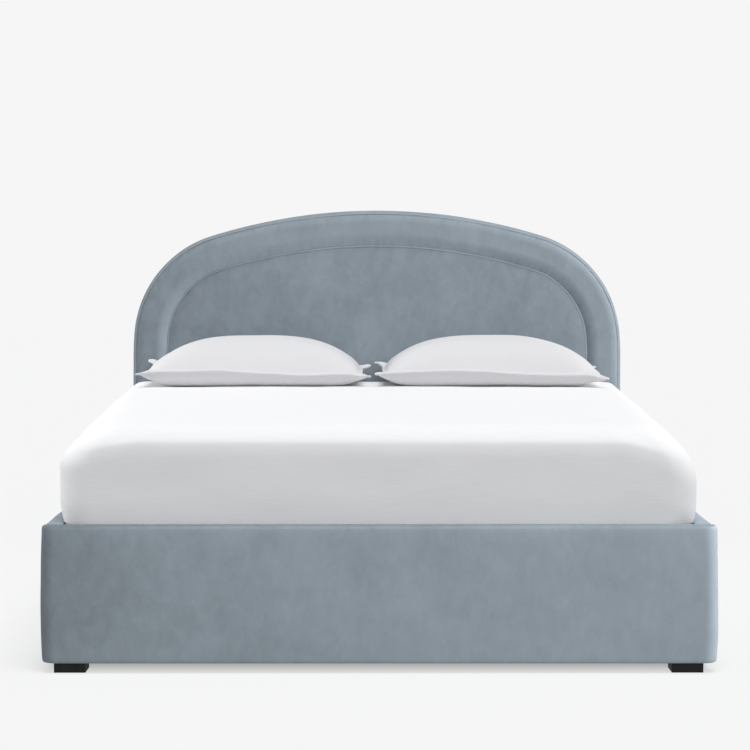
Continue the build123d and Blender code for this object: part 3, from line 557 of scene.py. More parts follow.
def paint_pile_light(piece, offset=0.0, slope=0.09, low_end=0.13, side=0.06, outward=1.0, glow=0.0,
              up=0.22, top=None):
    """Store painted light and shade on each point: above 0 the cloth looks lighter, below 0
    darker.

    Cloth that faces right is lighter, painted light as if from the right (side, and glow on that
    side alone, a painted highlight), less so where it also faces out of the bed (outward). Cloth
    that faces up is darker, a painted shade (up), and a painted highlight runs along a top edge
    (top). From left to right it goes lighter, painted light (slope), and the far left end is
    darker, painted shade (low_end). offset moves the whole piece lighter or darker.
    """
    mesh = piece.data
    lean = mesh.attributes.new("painted_pile_light", "FLOAT", "POINT")
    values = []
    for v in mesh.vertices:
        n = v.normal
        # Painted light that grows from left to right, and painted shade at the far left end.
        along = slope * math.tanh(v.co.x / 0.5) - low_end * smooth_step(-v.co.x, 0.4, 0.8)
        square_on = 1 - 0.8 * smooth_step(abs(n.x), 0.93, 0.99)
        share = outward if n.x * v.co.x > 0 else 1.0
        # Painted light as if from the right, with a painted highlight (glow) on right-facing
        # cloth; less of it where cloth faces straight sideways, which leaves a thin painted dark
        # line at the edge.
        turned = (side * share * n.x + glow * smooth_step(n.x, 0.0, 1.0)) * square_on
        # A painted highlight that fades down from the top edge.
        brushed = 0.12 * math.exp((v.co.z - top) / 0.027) if top else 0.0
        # Painted shade on cloth that faces up.
        values.append(offset + along + turned + brushed - up * n.z)
    lean.data.foreach_set("value", values)


def tie(piece, slot_name, nodes, fill=None, body="bed_frame", **nap):
    """Tie a piece to its body and hide the CAD solids that it stands for.

    fill, how full a padded piece is, is not used.
    """
    # Velvet pieces get painted light and shade stored on their points.
    if slot_name.startswith("velvet"):
        paint_pile_light(piece, **nap)
    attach(piece, body)
    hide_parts(*nodes)
    size = Vector(piece.bound_box[6]) - Vector(piece.bound_box[0])
    print(piece.name, [round(v, 3) for v in size], len(piece.data.vertices), "points")


# %% [markdown]
# ## The arch
#
# The headboard's edge is five arcs that run smoothly into each other: a wide one on top,
# a tight one at each shoulder and a long one down each side. A Bezier curve could copy
# it, but with arcs every seam inside it is the same shape moved in by an exact distance.

# %% Arch stations
half_width, arch_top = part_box("headboard_boxing")[1].x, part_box("headboard_boxing")[1].z
top_radius, side_radius = 1.830, 0.928
top_turn, shoulder_turn = math.radians(17.26), math.radians(85.2)


def heading(angle):
    """The direction at an angle from straight up."""
    return Vector((math.sin(angle), math.cos(angle)))


shoulder_radius = (
    half_width - top_radius * math.sin(top_turn) - side_radius * (1 - math.sin(shoulder_turn))
) / (math.sin(shoulder_turn) - math.sin(top_turn))
top_centre = Vector((0, arch_top - top_radius))
shoulder_centre = top_centre + heading(top_turn) * (top_radius - shoulder_radius)
side_centre = shoulder_centre + heading(shoulder_turn) * (shoulder_radius - side_radius)
spring_height = side_centre.y
heart = np.array([0.0, 0.62])  # where shrinking copies of the arch close


def arch_stations(bottom, step):
    """Points of the outline with outward directions, from the right end to the left one."""
    legs = max(2, round((spring_height - bottom) / step))
    right = [(Vector((half_width, bottom + (spring_height - bottom) * i / legs)), Vector((1, 0)))
             for i in range(legs)]
    arcs = (
        (side_centre, side_radius, math.pi / 2, shoulder_turn),
        (shoulder_centre, shoulder_radius, shoulder_turn, top_turn),
        (top_centre, top_radius, top_turn, 0.0),
    )
    for centre, radius, start, end in arcs:
        parts = max(2, round(radius * (start - end) / step))
        for i in range(parts):
            out = heading(start + (end - start) * i / parts)
            right.append((centre + out * radius, out))
    middle = [(Vector((0, arch_top)), Vector((0, 1)))]
    left = [(Vector((-p.x, p.y)), Vector((-n.x, n.y))) for p, n in reversed(right)]
    return right + middle + left


def sweep_arch(name, section, bottom, step, material):
    """Carry a section round the arch; section(run) gives (inset, y) pairs at that run."""
    grid, run, last = [], 0.0, None
    for place, out in arch_stations(bottom, step):
        run += (place - last).length if last else 0.0
        last = place
        spots = [(place - out * inset, y) for inset, y in section(run)]
        grid.append([(spot.x, y, spot.y) for spot, y in spots])
    return grid_skin(name, grid, material)


def arch_rim(bottom, inset, step, floor_steps):
    """The arch moved in by an inset, and closed along the bottom with a straight line."""
    rim = [(p.x - n.x * inset, p.y - n.y * inset) for p, n in arch_stations(bottom, step)]
    rim += [(rim[-1][0] + (rim[0][0] - rim[-1][0]) * i / floor_steps, bottom)
            for i in range(1, floor_steps)]
    return np.array(rim)


def shrinking_rings(rim, shares, depth):
    """Copies of a rim that shrink to its heart; depth(x, z, seam) gives each point's y."""
    rings = []
    for share in shares:
        ring = []
        for spot in rim:
            inner = heart + (spot - heart) * share
            seam = float(np.sqrt(((rim - inner) ** 2).sum(1).min()))
            ring.append((inner[0], depth(inner[0], inner[1], seam), inner[1]))
        rings.append(ring)
    return rings


def ripple(run, seed, size):
    """Slow noise along a seam, from -1 to 1."""
    return noise_at(run / size, seed, 0.0) * 1.6


def gather(run, away, amount, reach, seed, size):
    """Small folds along a seam that die out away from it."""
    return amount * math.exp(-away / reach) * ripple(run, seed, size)


pad_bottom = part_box("headboard_border_pad")[0].z - 0.002
panel_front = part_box("headboard_panel")[0].y
edge_front = panel_front - 0.020
border_out, border_in = 0.014, 0.116
print("arch", round(half_width, 3), round(arch_top, 3), "shoulder", round(shoulder_radius, 3))

# %% [markdown]
# ## The puffed border
#
# The border is a strip of velvet over a foam roll, sewn along both edges. The seams pull
# the cloth down, so it is steep there and round in the middle, with small gathers that
# die out a finger's width from the stitches. A bevelled curve could carry the roll, but
# its section couldn't change along the way, so the section is worked out at each station.

# %% Border band
band_width = border_in - border_out
crown_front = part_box("headboard_border_cover")[0].y + 0.0032
seam_rise = 0.28  # height of the outer seam, as a share of the roll's
out_end, in_start = 0.24, 0.60  # where the outer round ends and the inner one starts


def border_section(run):
    """Section of the border: a back on the panel and a round front between two seams."""
    ring = [(border_in, panel_front), (border_out, panel_front)]
    steps = 40
    for i in range(steps + 1):
        t = i / steps
        from_out, from_in = band_width * t, band_width * (1 - t)
        out_roll = 1 - (1 - min(t / out_end, 1)) ** 2.4
        in_roll = 1 - max(0.0, (t - in_start) / (1 - in_start)) ** 2.0
        rise = (seam_rise + (1 - seam_rise) * out_roll) * in_roll
        ridge = 0.0008 * math.exp(-((from_out - 0.008) / 0.0025) ** 2)
        folds = gather(run, from_out, 0.0010, 0.011, 3.0, 0.016)
        folds += gather(run, from_in, 0.0013, 0.012, 9.0, 0.019)
        slow = 0.0009 * ripple(run + border_out + from_out, 20.0 + t * 2, 0.16)
        base = edge_front - 0.0035 * t
        lift = (base - crown_front) * rise
        ring.append((border_out + from_out, base - lift - folds - slow - ridge))
    return ring


border = sweep_arch("headboard_border_band", border_section, pad_bottom, 0.0055, bed_velvet)
# Painted light from the right across the border's rolls.
tie(border, "velvet", ["headboard_border_cover", "headboard_border_pad"], 0.8,
    offset=-0.02, slope=0.05, side=0.80, outward=0.3)

# %% [markdown]
# ## The centre panel
#
# Inside the border lies one flatter cushion. Its cloth is drawn down at the seam and the
# foam swells just inside it, then stays nearly level. A subdivided plane would need its
# edge cut to the arch, so the cushion is made of shrinking copies of the arch instead.

# %% Centre cushion
seam_depth, roll_depth, crown_depth = 0.0243, 0.0062, 0.0040
roll_width, crown_width, rumple = 0.050, 0.24, 0.00154


def cushion_front(x, z, seam):
    """The y of the cushion's front at a spot, from its distance to the seam."""
    roll = 1 - (1 - min(seam / roll_width, 1)) ** 2.3
    crown = smooth_step(seam, 0.0, crown_width)
    pull = rumple * math.exp(-seam / 0.013) * noise_at(x * 52, 4.0, z * 52)
    slow = rumple * smooth_step(seam, 0, roll_width) * noise_at(x * 5, 8.0, z * 5)
    return panel_front - (seam_depth + roll_depth * roll + crown_depth * crown + pull + slow)


rim = arch_rim(pad_bottom, border_in, 0.009, 90)
levels = [1.0, 0.996, 0.99, 0.982, 0.972, 0.96, 0.946, 0.93, 0.91]
levels += [0.91 - 0.91 * i / 26 for i in range(1, 26)]
back = [(x, panel_front, z) for x, z in rim]
centre = grid_skin("headboard_centre_panel",
                   [back] + shrinking_rings(rim, levels, cushion_front), bed_velvet)
# Painted light and shade on the cushion: lighter to the right and where its rim faces right.
tie(centre, "velvet", ["headboard_centre_pad"], 0.6, offset=-0.12, slope=0.04, low_end=0.0,
    side=0.5)

# %% [markdown]
# ## Lower velvet panel
#
# Below the cushion the same velvet runs flat down the board behind the mattress. It is
# never seen with the mattress in, but a lifted mattress shows it. It could be left to
# the CAD solid, but cloth laid on board still has soft edges, so it gets its own skin.

# %% Lower panel cloth
lower_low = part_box("headboard_centre_cover")[0].z
lower_half = half_width - border_out
cloth_front, cloth_back = panel_front - 0.0019, panel_front - 0.0002
columns = between(-lower_half, lower_half, 80)
front_and_back = [(x, cloth_front) for x in columns] + [(x, cloth_back) for x in columns[::-1]]
grid = [[(x, y, z) for x, y in front_and_back] for z in between(lower_low, pad_bottom, 24)]
lower = grid_skin("headboard_lower_velvet", grid, bed_velvet)
tie(lower, "velvet", ["headboard_centre_cover"])

# %% [markdown]
# ## The boxing strip
#
# Round the edge runs a padded strip that swells out past the front welt, so from the
# front a sliver of it shows all along the arch. It is swept like the border.

# %% Boxing
boxing_bottom, boxing_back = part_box("headboard_boxing")[0].z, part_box("headboard_boxing")[1].y
boxing_depth, boxing_padding = boxing_back - edge_front, 0.072
side_rail_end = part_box("side_rail_cover_right")[1].y + 0.0004
boxing_stations = arch_stations(boxing_bottom, 0.0055)
boxing_run = sum((b[0] - a[0]).length for a, b in zip(boxing_stations, boxing_stations[1:]))


def boxing_section(run):
    """Section of the strip round the edge, fullest a little behind its middle."""
    above_rails = min(run, boxing_run - run) > pad_bottom - boxing_bottom
    front = edge_front if above_rails else side_rail_end
    ring = [(border_out, boxing_back), (border_out, front)]
    steps = 22
    for i in range(1, steps + 1):
        y = front + (boxing_back - front) * i / steps
        t = (y - edge_front) / boxing_depth
        swell = math.sin(math.pi * min(t / 1.08, 1.0)) ** 0.62
        inset = min(border_out - 0.0139 * swell, border_out - 0.005 * smooth_step(t, 0.6, 1.0))
        folds = gather(run, (1 - t) * boxing_padding, 0.0008, 0.012, 31.0, 0.02)
        folds += gather(run, t * boxing_padding, 0.0006, 0.010, 35.0, 0.018)
        slow = 0.0005 * ripple(run, 40.0 + t, 0.14)
        ring.append((max(inset + folds + slow * swell, 0.0), y))
    return ring


boxing = sweep_arch("headboard_boxing_strip", boxing_section, boxing_bottom, 0.0055, bed_velvet)
tie(boxing, "velvet", ["headboard_boxing"], 0.7, offset=0.02)

# %% [markdown]
# ## The welts
#
# A welt is a thin cord wrapped in a bias strip of the same velvet and caught in the seam.
# It is the brightest line on the headboard: its velvet is a lighter copy of the same cloth,
# a painted highlight along the small round. A curve with a round bevel would be quick, but
# the welt wanders a little with the gathers on each side, so it is swept as a fine section
# that follows them.

# %% Welts
welt_radius = 0.003


def welt(name, node_name, slack, seed):
    """A round welt along the arch that wanders a little; slack moves it in off the CAD one."""
    low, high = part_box(node_name)
    inset, y = half_width - high.x + slack, low.y + welt_radius

    def section(run):
        drift = 0.0003 * ripple(run, seed, 0.06) + 0.0007 * ripple(run, seed + 5, 0.25)
        swell = welt_radius * (1 + 0.025 * ripple(run, seed + 9, 0.012))
        angles = [2 * math.pi * k / 12 for k in range(12)]
        return [(inset + drift + swell * math.cos(a), y + swell * math.sin(a)) for a in angles]

    made = sweep_arch(name, section, pad_bottom, 0.005, welt_velvet_painted_highlight)
    tie(made, "velvet_piping", [node_name])


welt("headboard_outer_welt", "headboard_outer_piping", 0.0028, 2.0)
welt("headboard_inner_welt", "headboard_inner_piping", 0.003, 7.0)

# %% [markdown]
# ## Rails
#
# Each rail is a board with foam over its face and top and velvet pulled round both and
# stapled underneath. The foot rail's foam is thicker, its corners are round, and the
# velvet bows out a few millimetres about a third of the way up, where nothing holds it. A
# bevelled box has the size but not the bow, so the rail is built up in levels.

# %% Foot rail
foot_low, foot_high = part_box("foot_rail_cover")
foot_half, foot_shift = foot_high.x + 0.003, 0.0018
top_edge, corner_radius, back_radius = 0.007, 0.036, 0.006
widest = 0.32  # the height where it bows out most, as a share
drawn_above, drawn_below, drawn_front = 0.0046, 0.0036, 0.0020
gap, turned_in = 0.0002, 0.060  # between foam and board, and of velvet on the inner face


def foot_levels():
    """Heights of the foot rail's rings, each with how far it draws in there."""
    bottom, side_top = foot_low.z, foot_high.z - top_edge
    rows = [(bottom, 0.0040), (bottom + 0.0008, 0.0018), (bottom + 0.0025, 0.0007),
            (bottom + 0.006, 0.0001)]
    rows += [(z, 0.0) for z in between(bottom + 0.014, side_top, 34)]
    return rows + [(side_top + top_edge * up, top_edge * inward) for up, inward in round_edge(8)]


def foot_ring(z, draw):
    """One level of the foot rail, drawn in at its edges and away from its widest level."""
    share = (z - foot_low.z) / (foot_high.z - foot_low.z)
    away = (share - widest) / (1 - widest) if share > widest else (widest - share) / widest
    half = foot_half - draw - (drawn_above if share > widest else drawn_below) * away ** 2
    front = foot_low.y + draw + drawn_front * away ** 2
    corner = max(corner_radius - draw, 0.012)
    plan = rounded_plan(half, front, foot_high.y, (back_radius, back_radius, corner, corner),
                        (8, 8, 14, 14), (116, 1, 116, 1))
    return [(x + foot_shift, y, z) for x, y in plan]


def keep_out_of(piece, name, low, high):
    """Cut a box-shaped room out of a skin with a Boolean modifier."""
    low, high = Vector(low), Vector(high)
    bpy.ops.mesh.primitive_cube_add(size=1, location=(low + high) / 2, scale=high - low)
    room_box = bpy.context.object
    bpy.context.view_layer.objects.active = piece
    cut = piece.modifiers.new(name, "BOOLEAN")
    cut.operation = "DIFFERENCE"
    cut.solver = "EXACT"
    cut.object = room_box
    bpy.ops.object.modifier_apply(modifier=name)
    bpy.data.objects.remove(room_box)


def rail_fade(spot):
    """Waves stay off the underside and the inner face."""
    return smooth_step(spot.z, 0.03, 0.09) * smooth_step(foot_high.y - spot.y, 0.004, 0.02)


foot_rail = grid_skin("foot_rail_upholstery", [foot_ring(*row) for row in foot_levels()],
                      bed_velvet)
board_low, board_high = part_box("foot_rail_board")
opening_half, opening_low = 0.767, board_low.z - 0.02
keep_out_of(foot_rail, "board_room", (board_low.x - gap, board_low.y - gap, opening_low),
            (board_high.x + gap, board_high.y + gap, board_high.z + gap))
keep_out_of(foot_rail, "inner_opening", (-opening_half, board_high.y - 0.002, opening_low),
            (opening_half, foot_high.y + 0.01, foot_high.z - turned_in))
wave(foot_rail, 0.0016, 0.17, 3.0, rail_fade)
wave(foot_rail, 0.0005, 0.045, 8.0, rail_fade)
# Painted light: a painted highlight on the right corner (glow), painted shade on the top face
# (up) and a painted highlight along the top edge (top).
tie(foot_rail, "velvet", ["foot_rail_cover", "foot_rail_foam"], 0.5,
    offset=0.022, side=0.23, glow=0.80, up=0.42, top=foot_high.z)

# %% [markdown]
# ## Side rails
#
# The side rails are built the same way, but with thin foam, so they are nearly flat. One
# section is carried from the foot rail to the headboard, and the cloth is drawn in a
# little at both ends where the next piece presses on it.

# %% Side rails
side_low, side_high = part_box("side_rail_cover_right")
rail_board_low, rail_board_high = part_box("side_rail_board_right")
side_edge, recess = 0.006, 0.0024


def side_section(share):
    """Section of the right rail: in along the board, out over the face, and back."""
    inner, outer = side_low.x, side_high.x + 0.005
    low, high = side_low.z, side_high.z
    board_in, board_out = rail_board_low.x - gap, rail_board_high.x + gap
    board_top, staples = rail_board_high.z + gap, low + 0.0016
    ring = [(inner, high - turned_in), (board_in, high - turned_in), (board_in, board_top),
            (board_out, board_top), (board_out, staples), (rail_board_high.x - 0.012, staples),
            (rail_board_high.x - 0.012, low), (outer - 0.005, low)]
    steps, last = 30, high - side_edge
    ends = 1 - math.exp(-share * 90) - math.exp(-(1 - share) * 90)
    for i, z in enumerate(between(low + 0.003, last, steps)):
        bow = math.sin(math.pi * i / steps) ** 0.7
        ring.append((outer - recess * (1 - bow * ends), z))
    ring += [(outer - recess - side_edge * inward, last + side_edge * up)
             for up, inward in round_edge(6)]
    ring += [(outer - recess - side_edge - 0.006 * k, high) for k in range(1, 4)]
    return ring + [(inner + 0.002, high), (inner, high - 0.003)]


def side_fade(spot):
    """Waves stay on the outer face, off the underside."""
    return smooth_step(abs(spot.x), 0.799, 0.804) * smooth_step(spot.z, 0.03, 0.09)


def side_rail(label, side):
    """One side rail's foam and velvet in one skin."""
    steps = 150
    grid = [[(side * x, y, z) for x, z in side_section(i / steps)]
            for i, y in enumerate(between(side_low.y + 0.0003, side_high.y - 0.0003, steps))]
    made = grid_skin(f"side_rail_upholstery_{label}", grid, bed_velvet)
    wave(made, 0.0012, 0.2, 5.0 + side, side_fade)
    tie(made, "velvet", [f"side_rail_cover_{label}", f"side_rail_foam_{label}"], 0.4, up=0.0)


side_rail("left", -1)
side_rail("right", 1)

# %% [markdown]
# ## The mattress
#
# The mattress stands in the frame with straight sides, swells above the rails and rolls
# over softly into a nearly flat top. Its knitted cover is one tight skin. The levels
# follow the real sequence from the slats up, and slow noise loosens the surface. The long
# sides roll over widely at the foot and tightly at the head, so each level is built with
# one even roll first, and its points then move to where the roll of the long side has them.

# %% Mattress
bed_low, bed_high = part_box("mattress_cover")
core_half, foot_end, head_end = 0.762, -1.0385, 0.9935
roll, roll_in, swell, straight = 0.080, 0.092, 0.012, 0.335
roll_top, roll_end = bed_high.z - 0.003, math.radians(84)
innermost, base_edge = 0.725, 0.014


def long_side(x, y):
    """Roll height, roll width and swell of a long side: soft at the foot, tight at the head."""
    far = min(max((y - foot_end) / (head_end - foot_end), 0.0), 1.0)
    if x < 0:
        share, foot, head = far ** 0.70, (0.118, 0.205, 0.012), (0.028, 0.028, 0.028)
    else:
        share, foot, head = far ** 0.92, (0.150, 0.168, 0.012), (0.052, 0.034, 0.020)
    return [f + (h - f) * share for f, h in zip(foot, head)]


def fit_long_side(x, y, z, half, turned, swollen):
    """Move a point of the even roll to where the roll of the long side has it."""
    side_roll, side_in, side_swell = long_side(x, y)
    in_by = (side_in - roll_in) * turned - (side_swell - swell) * swollen
    start, side_start = roll_top - roll, roll_top - side_roll
    if z <= start:
        lower = max(z - straight, 0.0) * (side_start - start) / (start - straight)
    else:
        lower = (side_start - start) * max(1 - (z - start) / roll, 0.0)
    near = smooth_step(abs(x) / half, 0.76, 1.0)
    return x * (1 - in_by / half), y, z + lower * near


def mattress_ring(z, inset, turned=0.0, swollen=0.0):
    """Rounded outline at one level. The swell is a negative inset: none at the head."""
    half = core_half - inset
    radius = min(max(0.075 - max(inset, 0.0) * 0.35, 0.03), half * 0.8)
    front, back = foot_end + max(inset, inset * 0.35), head_end - max(inset, 0.0)
    plan = rounded_plan(half, front, back, (radius,) * 4, (14,) * 4, (84, 110, 84, 110))
    return [fit_long_side(x, y, z, half, turned, swollen) for x, y in plan]


def mattress_grid():
    """Rings from the underside's middle, up the side and in over the top."""
    low, high, start = bed_low.z, bed_high.z, roll_top - roll
    grid = [mattress_ring(low + 0.0002, 0.3), mattress_ring(low, 0.12), mattress_ring(low, 0.03)]
    grid += [mattress_ring(low + base_edge * up, base_edge * (1 - out))
             for out, up in [(0, 0)] + round_edge(6)]
    grid += [mattress_ring(z, 0.0) for z in between(low + base_edge, straight, 4)[1:]]
    for k in range(1, 17):
        out = math.sin(min(k / 16 * 1.9, 1.0) * math.pi / 2)
        grid.append(mattress_ring(straight + (start - straight) * k / 16, -swell * out, 0.0, out))
    for up, turned in round_edge(18, roll_end):
        z, inset = start + roll * up, -swell + roll_in * turned
        grid.append(mattress_ring(z, inset, turned, 1.0))
    for k in range(1, 25):
        t = k / 24
        grid.append(mattress_ring(z + (high - z) * (1 - (1 - t) ** 3.2),
                                  inset + (innermost - inset) * t ** 1.15, turned, 1.0))
    return grid


def mattress_fade(spot):
    """Waves live above the rails and leave the head end in place."""
    return smooth_step(spot.z, 0.36, 0.45) * smooth_step(head_end - spot.y, 0.0, 0.05)


mattress = grid_skin("mattress_body", mattress_grid(), mattress_knit)
wave(mattress, 0.0026, 0.24, 12.0, mattress_fade)
wave(mattress, 0.0008, 0.07, 17.0, mattress_fade)
box_cloth_map(mattress)
tie(mattress, "mattress_knit",
    ["mattress_cover", "mattress_comfort_layer", "mattress_spring_core"], 0.9, "mattress")

# %% [markdown]
# ## Pillows
#
# A pillow is two flat rectangles sewn together and stuffed. The stuffing rounds the middle
# and pulls the long edges in, and it doesn't reach the corners, which stay behind as small
# flat ears. The seam is a thin ridge that wanders up and down. Cloth blown up from two flat
# sheets either stays slack or goes as round as a ball, so the form is given first, and the
# simulation only relaxes the cloth on it.

# %% Pillow form
seam_height, seam_half, crown_drop = 0.040, 0.0020, 0.0135
pulled_in_x, pulled_in_y = 0.058, 0.050
stuffed_x, stuffed_y = 0.980, 0.962
pillow_columns, pillow_rows = 84, 66


def even_out(share):
    """Crowd grid lines towards both ends, where a pillow's shape turns fastest."""
    return math.sin(share * math.pi / 2) * 0.55 + share * 0.45


def pillow_point(u, v, side, low, high, seed, ears, dip):
    """One point of a pillow; u and v run from -1 to 1, and side is 1 above the seam.

    ears[right][back] says how far the ear at that corner is turned up.
    """
    seam_z = low.z + seam_height
    middle, half_x, half_y = (low + high) / 2, (high.x - low.x) / 2, (high.y - low.y) / 2
    a, b = abs(u) / stuffed_x, abs(v) / stuffed_y
    full = math.sqrt(a ** 5.8 + b ** 6.8)
    corner = smooth_step(abs(u), 0.78, 0.98) * smooth_step(abs(v), 0.55, 0.95)
    tip = smooth_step(full, 0.94, 1.35) * corner
    lean = 0.3 * half_y * (abs(v) - 0.92) if v > 0 else 0.0
    fold = 0.0016 * math.sin(9 * (abs(u) - abs(v)) * 3.1 + seed)
    seam = seam_z - 0.0075 * math.sin(math.pi * (u + dip)) * smooth_step(-v, 0.2, 1.0)
    seam += 0.0030 * noise_at(u * 3.2, seed + v * 2, 0.3)
    if side > 0:
        body, face = max(0.0, 1 - full) ** 0.92, high.z - crown_drop
    else:
        body = max(0.0, 1 - a ** 7) ** 0.8 * max(0.0, 1 - b ** 9.5) ** 0.32
        face = low.z
    bead = 0.0014 * smooth_step(max(abs(u), abs(v)), 0.975, 0.995)
    crease = 0.0026 * math.exp(-(max(0.0, 1 - full) / 0.22) ** 2) * (1 - tip)
    crease *= noise_at(u * 11, v * 9, seed)
    pull_x = 1 - pulled_in_x * (1 - smooth_step(abs(v), 0.80, 0.97))
    pull_y = 1 - pulled_in_y * (1 - smooth_step(abs(u), 0.84, 0.97))
    return (
        middle.x + half_x * u * pull_x * (1 - 0.006 * tip * math.sin(abs(v) * 60 + seed)),
        middle.y + half_y * v * pull_y * (1 - 0.010 * tip * math.sin(abs(u) * 90 + seed)),
        seam + (face - seam) * body + side * (seam_half + bead + crease)
        + tip * (ears[u > 0][v > 0] + lean + fold),
    )


def formed_pillow(name, node_name, seed, ears, dip):
    """A sewn pillow: full in the middle, thin along the seam, with ears at its corners."""
    low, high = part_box(node_name)
    last_row, last_column, row = pillow_rows, pillow_columns, pillow_columns + 1
    points = [
        pillow_point(even_out(2 * i / last_column - 1), even_out(2 * j / last_row - 1), side,
                     low, high, seed, ears, dip)
        for side in (1, -1) for j in range(last_row + 1) for i in range(row)
    ]
    shift = row * (last_row + 1)
    faces = []
    for j in range(last_row):
        for i in range(last_column):
            a = j * row + i
            b = a + shift
            faces += [(a, a + 1, a + 1 + row, a + row), (b, b + row, b + 1 + row, b + 1)]
    seam = ([(0, i) for i in range(row)] + [(j, last_column) for j in range(1, last_row + 1)]
            + [(last_row, i) for i in range(last_column - 1, -1, -1)]
            + [(j, 0) for j in range(last_row - 1, 0, -1)])
    for (j, i), (k, m) in zip(seam, seam[1:] + seam[:1]):
        a, b = j * row + i, k * row + m
        faces.append((b, a, a + shift, b + shift))
    made = new_skin(name, points, faces, pillow_cotton)
    above = low.z + seam_height
    wave(made, 0.002, 0.12, seed, lambda spot: smooth_step(spot.z, above + 0.01, above + 0.05))
    return made


# %% [markdown]
# ## Cloth that relaxes
#
# Blender's Cloth treats every edge of the mesh as a thread. A little pressure inside pushes
# the stuffed part out, the threads hold it back, and the cloth finds its own small hollows
# by the seam. Each point may move only a few millimetres, so the form can't run away.


# %% Cloth simulation
def relax_cloth(piece, pressure, cap, lowest, frames=14):
    """Let a stuffed skin settle as cloth, with every point held near its place."""
    scene = bpy.context.scene
    form = [v.co.copy() for v in piece.data.vertices]
    bpy.context.view_layer.objects.active = piece
    cloth = piece.modifiers.new("relaxing", "CLOTH")
    threads = {
        "quality": 5, "mass": 0.12, "tension_stiffness": 40, "compression_stiffness": 12,
        "shear_stiffness": 10, "bending_stiffness": 0.6, "use_pressure": True,
        "uniform_pressure_force": pressure,
    }
    for key, value in threads.items():
        setattr(cloth.settings, key, value)
    cloth.settings.effector_weights.gravity = 0
    cloth.collision_settings.use_collision = False
    cloth.point_cache.frame_start = 1
    cloth.point_cache.frame_end = frames
    for frame_number in range(1, frames + 1):
        scene.frame_set(frame_number)
    settled = piece.evaluated_get(bpy.context.evaluated_depsgraph_get()).data
    places = [v.co.copy() for v in settled.vertices]
    piece.modifiers.remove(cloth)
    scene.frame_set(1)
    farthest = 0.0
    for v, start, place in zip(piece.data.vertices, form, places):
        move = place - start
        farthest = max(farthest, move.length)
        v.co = start + move * min(1.0, cap / max(move.length, 1e-9))
        v.co.z = max(v.co.z, lowest)
    piece.data.update()
    print(piece.name, "moved up to", round(farthest * 1000, 1), "mm, held to", cap * 1000)


# %% Pillows
left_ears = ((0.0, 0.020), (-0.007, 0.002))
right_ears = ((0.003, 0.015), (-0.011, 0.0))
for label, seed, ears, dip in (("left", 3.0, left_ears, 0.0), ("right", 11.0, right_ears, -0.15)):
    pillow = formed_pillow(f"pillow_{label}", f"pillow_case_{label}", seed, ears, dip)
    relax_cloth(pillow, pressure=3.0, cap=0.006, lowest=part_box(f"pillow_case_{label}")[0].z)
    smoother = pillow.modifiers.new("rounding", "SUBSURF")
    smoother.levels = smoother.render_levels = 1
    bpy.context.view_layer.objects.active = pillow
    bpy.ops.object.modifier_apply(modifier="rounding")
    box_cloth_map(pillow)
    tie(pillow, "pillow_cotton", [f"pillow_case_{label}", f"pillow_fill_{label}"], 0.8,
        f"pillow_{label}")

# %% [markdown]
# ## The back cloth
#
# The back of a headboard that stands against a wall is closed with a thin bonded cloth,
# stapled round the edge. Between the staples it sags a little.

# %% Back cloth
bonded, tools, shader = new_material("black_bonded_cloth")
dots = tools.node("TexVoronoi", {"feature": "F1"}, Vector=tools.place(), Scale=620.0)
fibres = tools.noise(tools.place(), 1500.0, 3.0, 0.7)
pressed = tools.spread(dots.outputs["Distance"], 0.15, 0.55, 0.0, 1.0)
tools.fill(
    shader, Base_Color=tools.blend(pressed, (0.018, 0.018, 0.019, 1), (0.034, 0.034, 0.036, 1)),
    Roughness=tools.spread(fibres, 0.2, 0.8, 0.7, 0.95),
    Normal=tools.bump(tools.plus(tools.times(fibres, 0.5), pressed), 0.4, 0.0003),
)

back_bottom, back_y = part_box("headboard_back_cloth")[0].z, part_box("headboard_back_cloth")[1].y
cloth_thickness = 0.0006


def back_depth(x, z, seam):
    """The y of the cloth's inner face: it sags a little between its staples."""
    loose = smooth_step(seam, 0.004, 0.05) * (1 + noise_at(x * 7, 0, z * 7))
    return back_y - 0.0008 - 0.0003 * loose


rim = arch_rim(back_bottom, 0.0142, 0.02, 80)
levels = [1.0, 0.99, 0.97, 0.94, 0.9] + [0.9 - 0.9 * i / 16 for i in range(1, 16)]
inside = shrinking_rings(rim, levels, back_depth)
outside = [[(x, y + cloth_thickness, z) for x, y, z in ring] for ring in inside]
back_cloth = grid_skin("headboard_back_sheet", inside[::-1] + outside, bonded)
tie(back_cloth, "dust_cloth", ["headboard_back_cloth"])

# %% [markdown]
# ## The floor
#
# The floor is plain pale paper. To the camera part of its brightness is its own, so the
# shade under the low rails stays light; to the lamps it is an ordinary matt floor that
# lights the bed from below. Under the foot rail the floor's own share falls towards the
# back and rises to the rail's front edge, so it paints a shade there that fades towards
# the front: a painted shadow gradient.

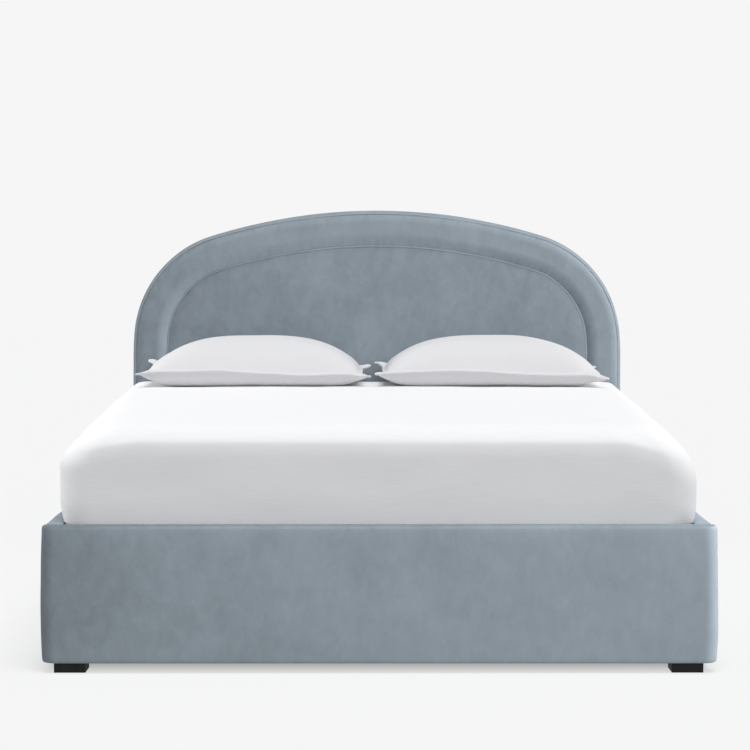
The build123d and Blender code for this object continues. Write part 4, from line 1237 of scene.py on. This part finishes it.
# %% Floor
open_share, edge_share, deep_share = 0.70, 0.84, 0.42
front_y, rail_y, deep_y = -1.16, -1.10, -0.95
bpy.ops.mesh.primitive_plane_add(size=60, location=(0, 0, 0))
floor = bpy.context.object
floor.name = "studio_floor"
paper_floor = bpy.data.materials.new("studio_paper")
tools = empty_tree(paper_floor)
glow = tools.node("Emission", Color=background, Strength=1.0)
seen = seen_directly(tools)
spot = tools.node("SeparateXYZ", Vector=tools.place()).outputs
# Painted shadow: the floor's own share falls towards the back of the foot rail and rises to its
# front edge.
painted_shade_under_rail = tools.spread(spot[1], rail_y, deep_y, edge_share, deep_share)
painted_shade_before_rail = tools.spread(spot[1], front_y, rail_y, open_share, edge_share)
share = tools.maths("MINIMUM", painted_shade_under_rail, painted_shade_before_rail)
beside = tools.spread(tools.maths("ABSOLUTE", spot[0]), 0.74, 0.86, 0.0, 1.0)
share = tools.plus(share, tools.times(tools.maths("SUBTRACT", open_share, share), beside))
paper_tone = tools.blend(seen, (0.32, 0.32, 0.32, 1), (0.918, 0.918, 0.918, 1))
matt = tools.node("BsdfDiffuse", Color=paper_tone)
mixed = tools.node("MixShader", _0=tools.times(share, seen), _1=matt.outputs[0],
                   _2=glow.outputs[0])
tools.node("OutputMaterial", Surface=mixed.outputs[0])
floor.data.materials.append(paper_floor)
floor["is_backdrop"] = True
print("floor", paper_floor.name)

# %% [markdown]
# ## What the soft boxes light
#
# The soft boxes stand close, so on their own they would leave bright pools on the paper
# floor. A flag between lamp and floor would stop that in a studio; here light linking
# keeps their light on the bed, and that of the two small boxes on the bedding.

# %% Light linking
bed_only = bpy.data.collections.new("lit_by_the_soft_boxes")
bedding_only = bpy.data.collections.new("lit_by_the_rim_boxes")
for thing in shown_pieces():
    bed_only.objects.link(thing)
    if thing.name.startswith(("mattress", "pillow")):
        bedding_only.objects.link(thing)
for boxes, lit in ((bed_boxes, bed_only), (bedding_boxes, bedding_only)):
    for lamp in boxes:
        lamp.light_linking.receiver_collection = lit
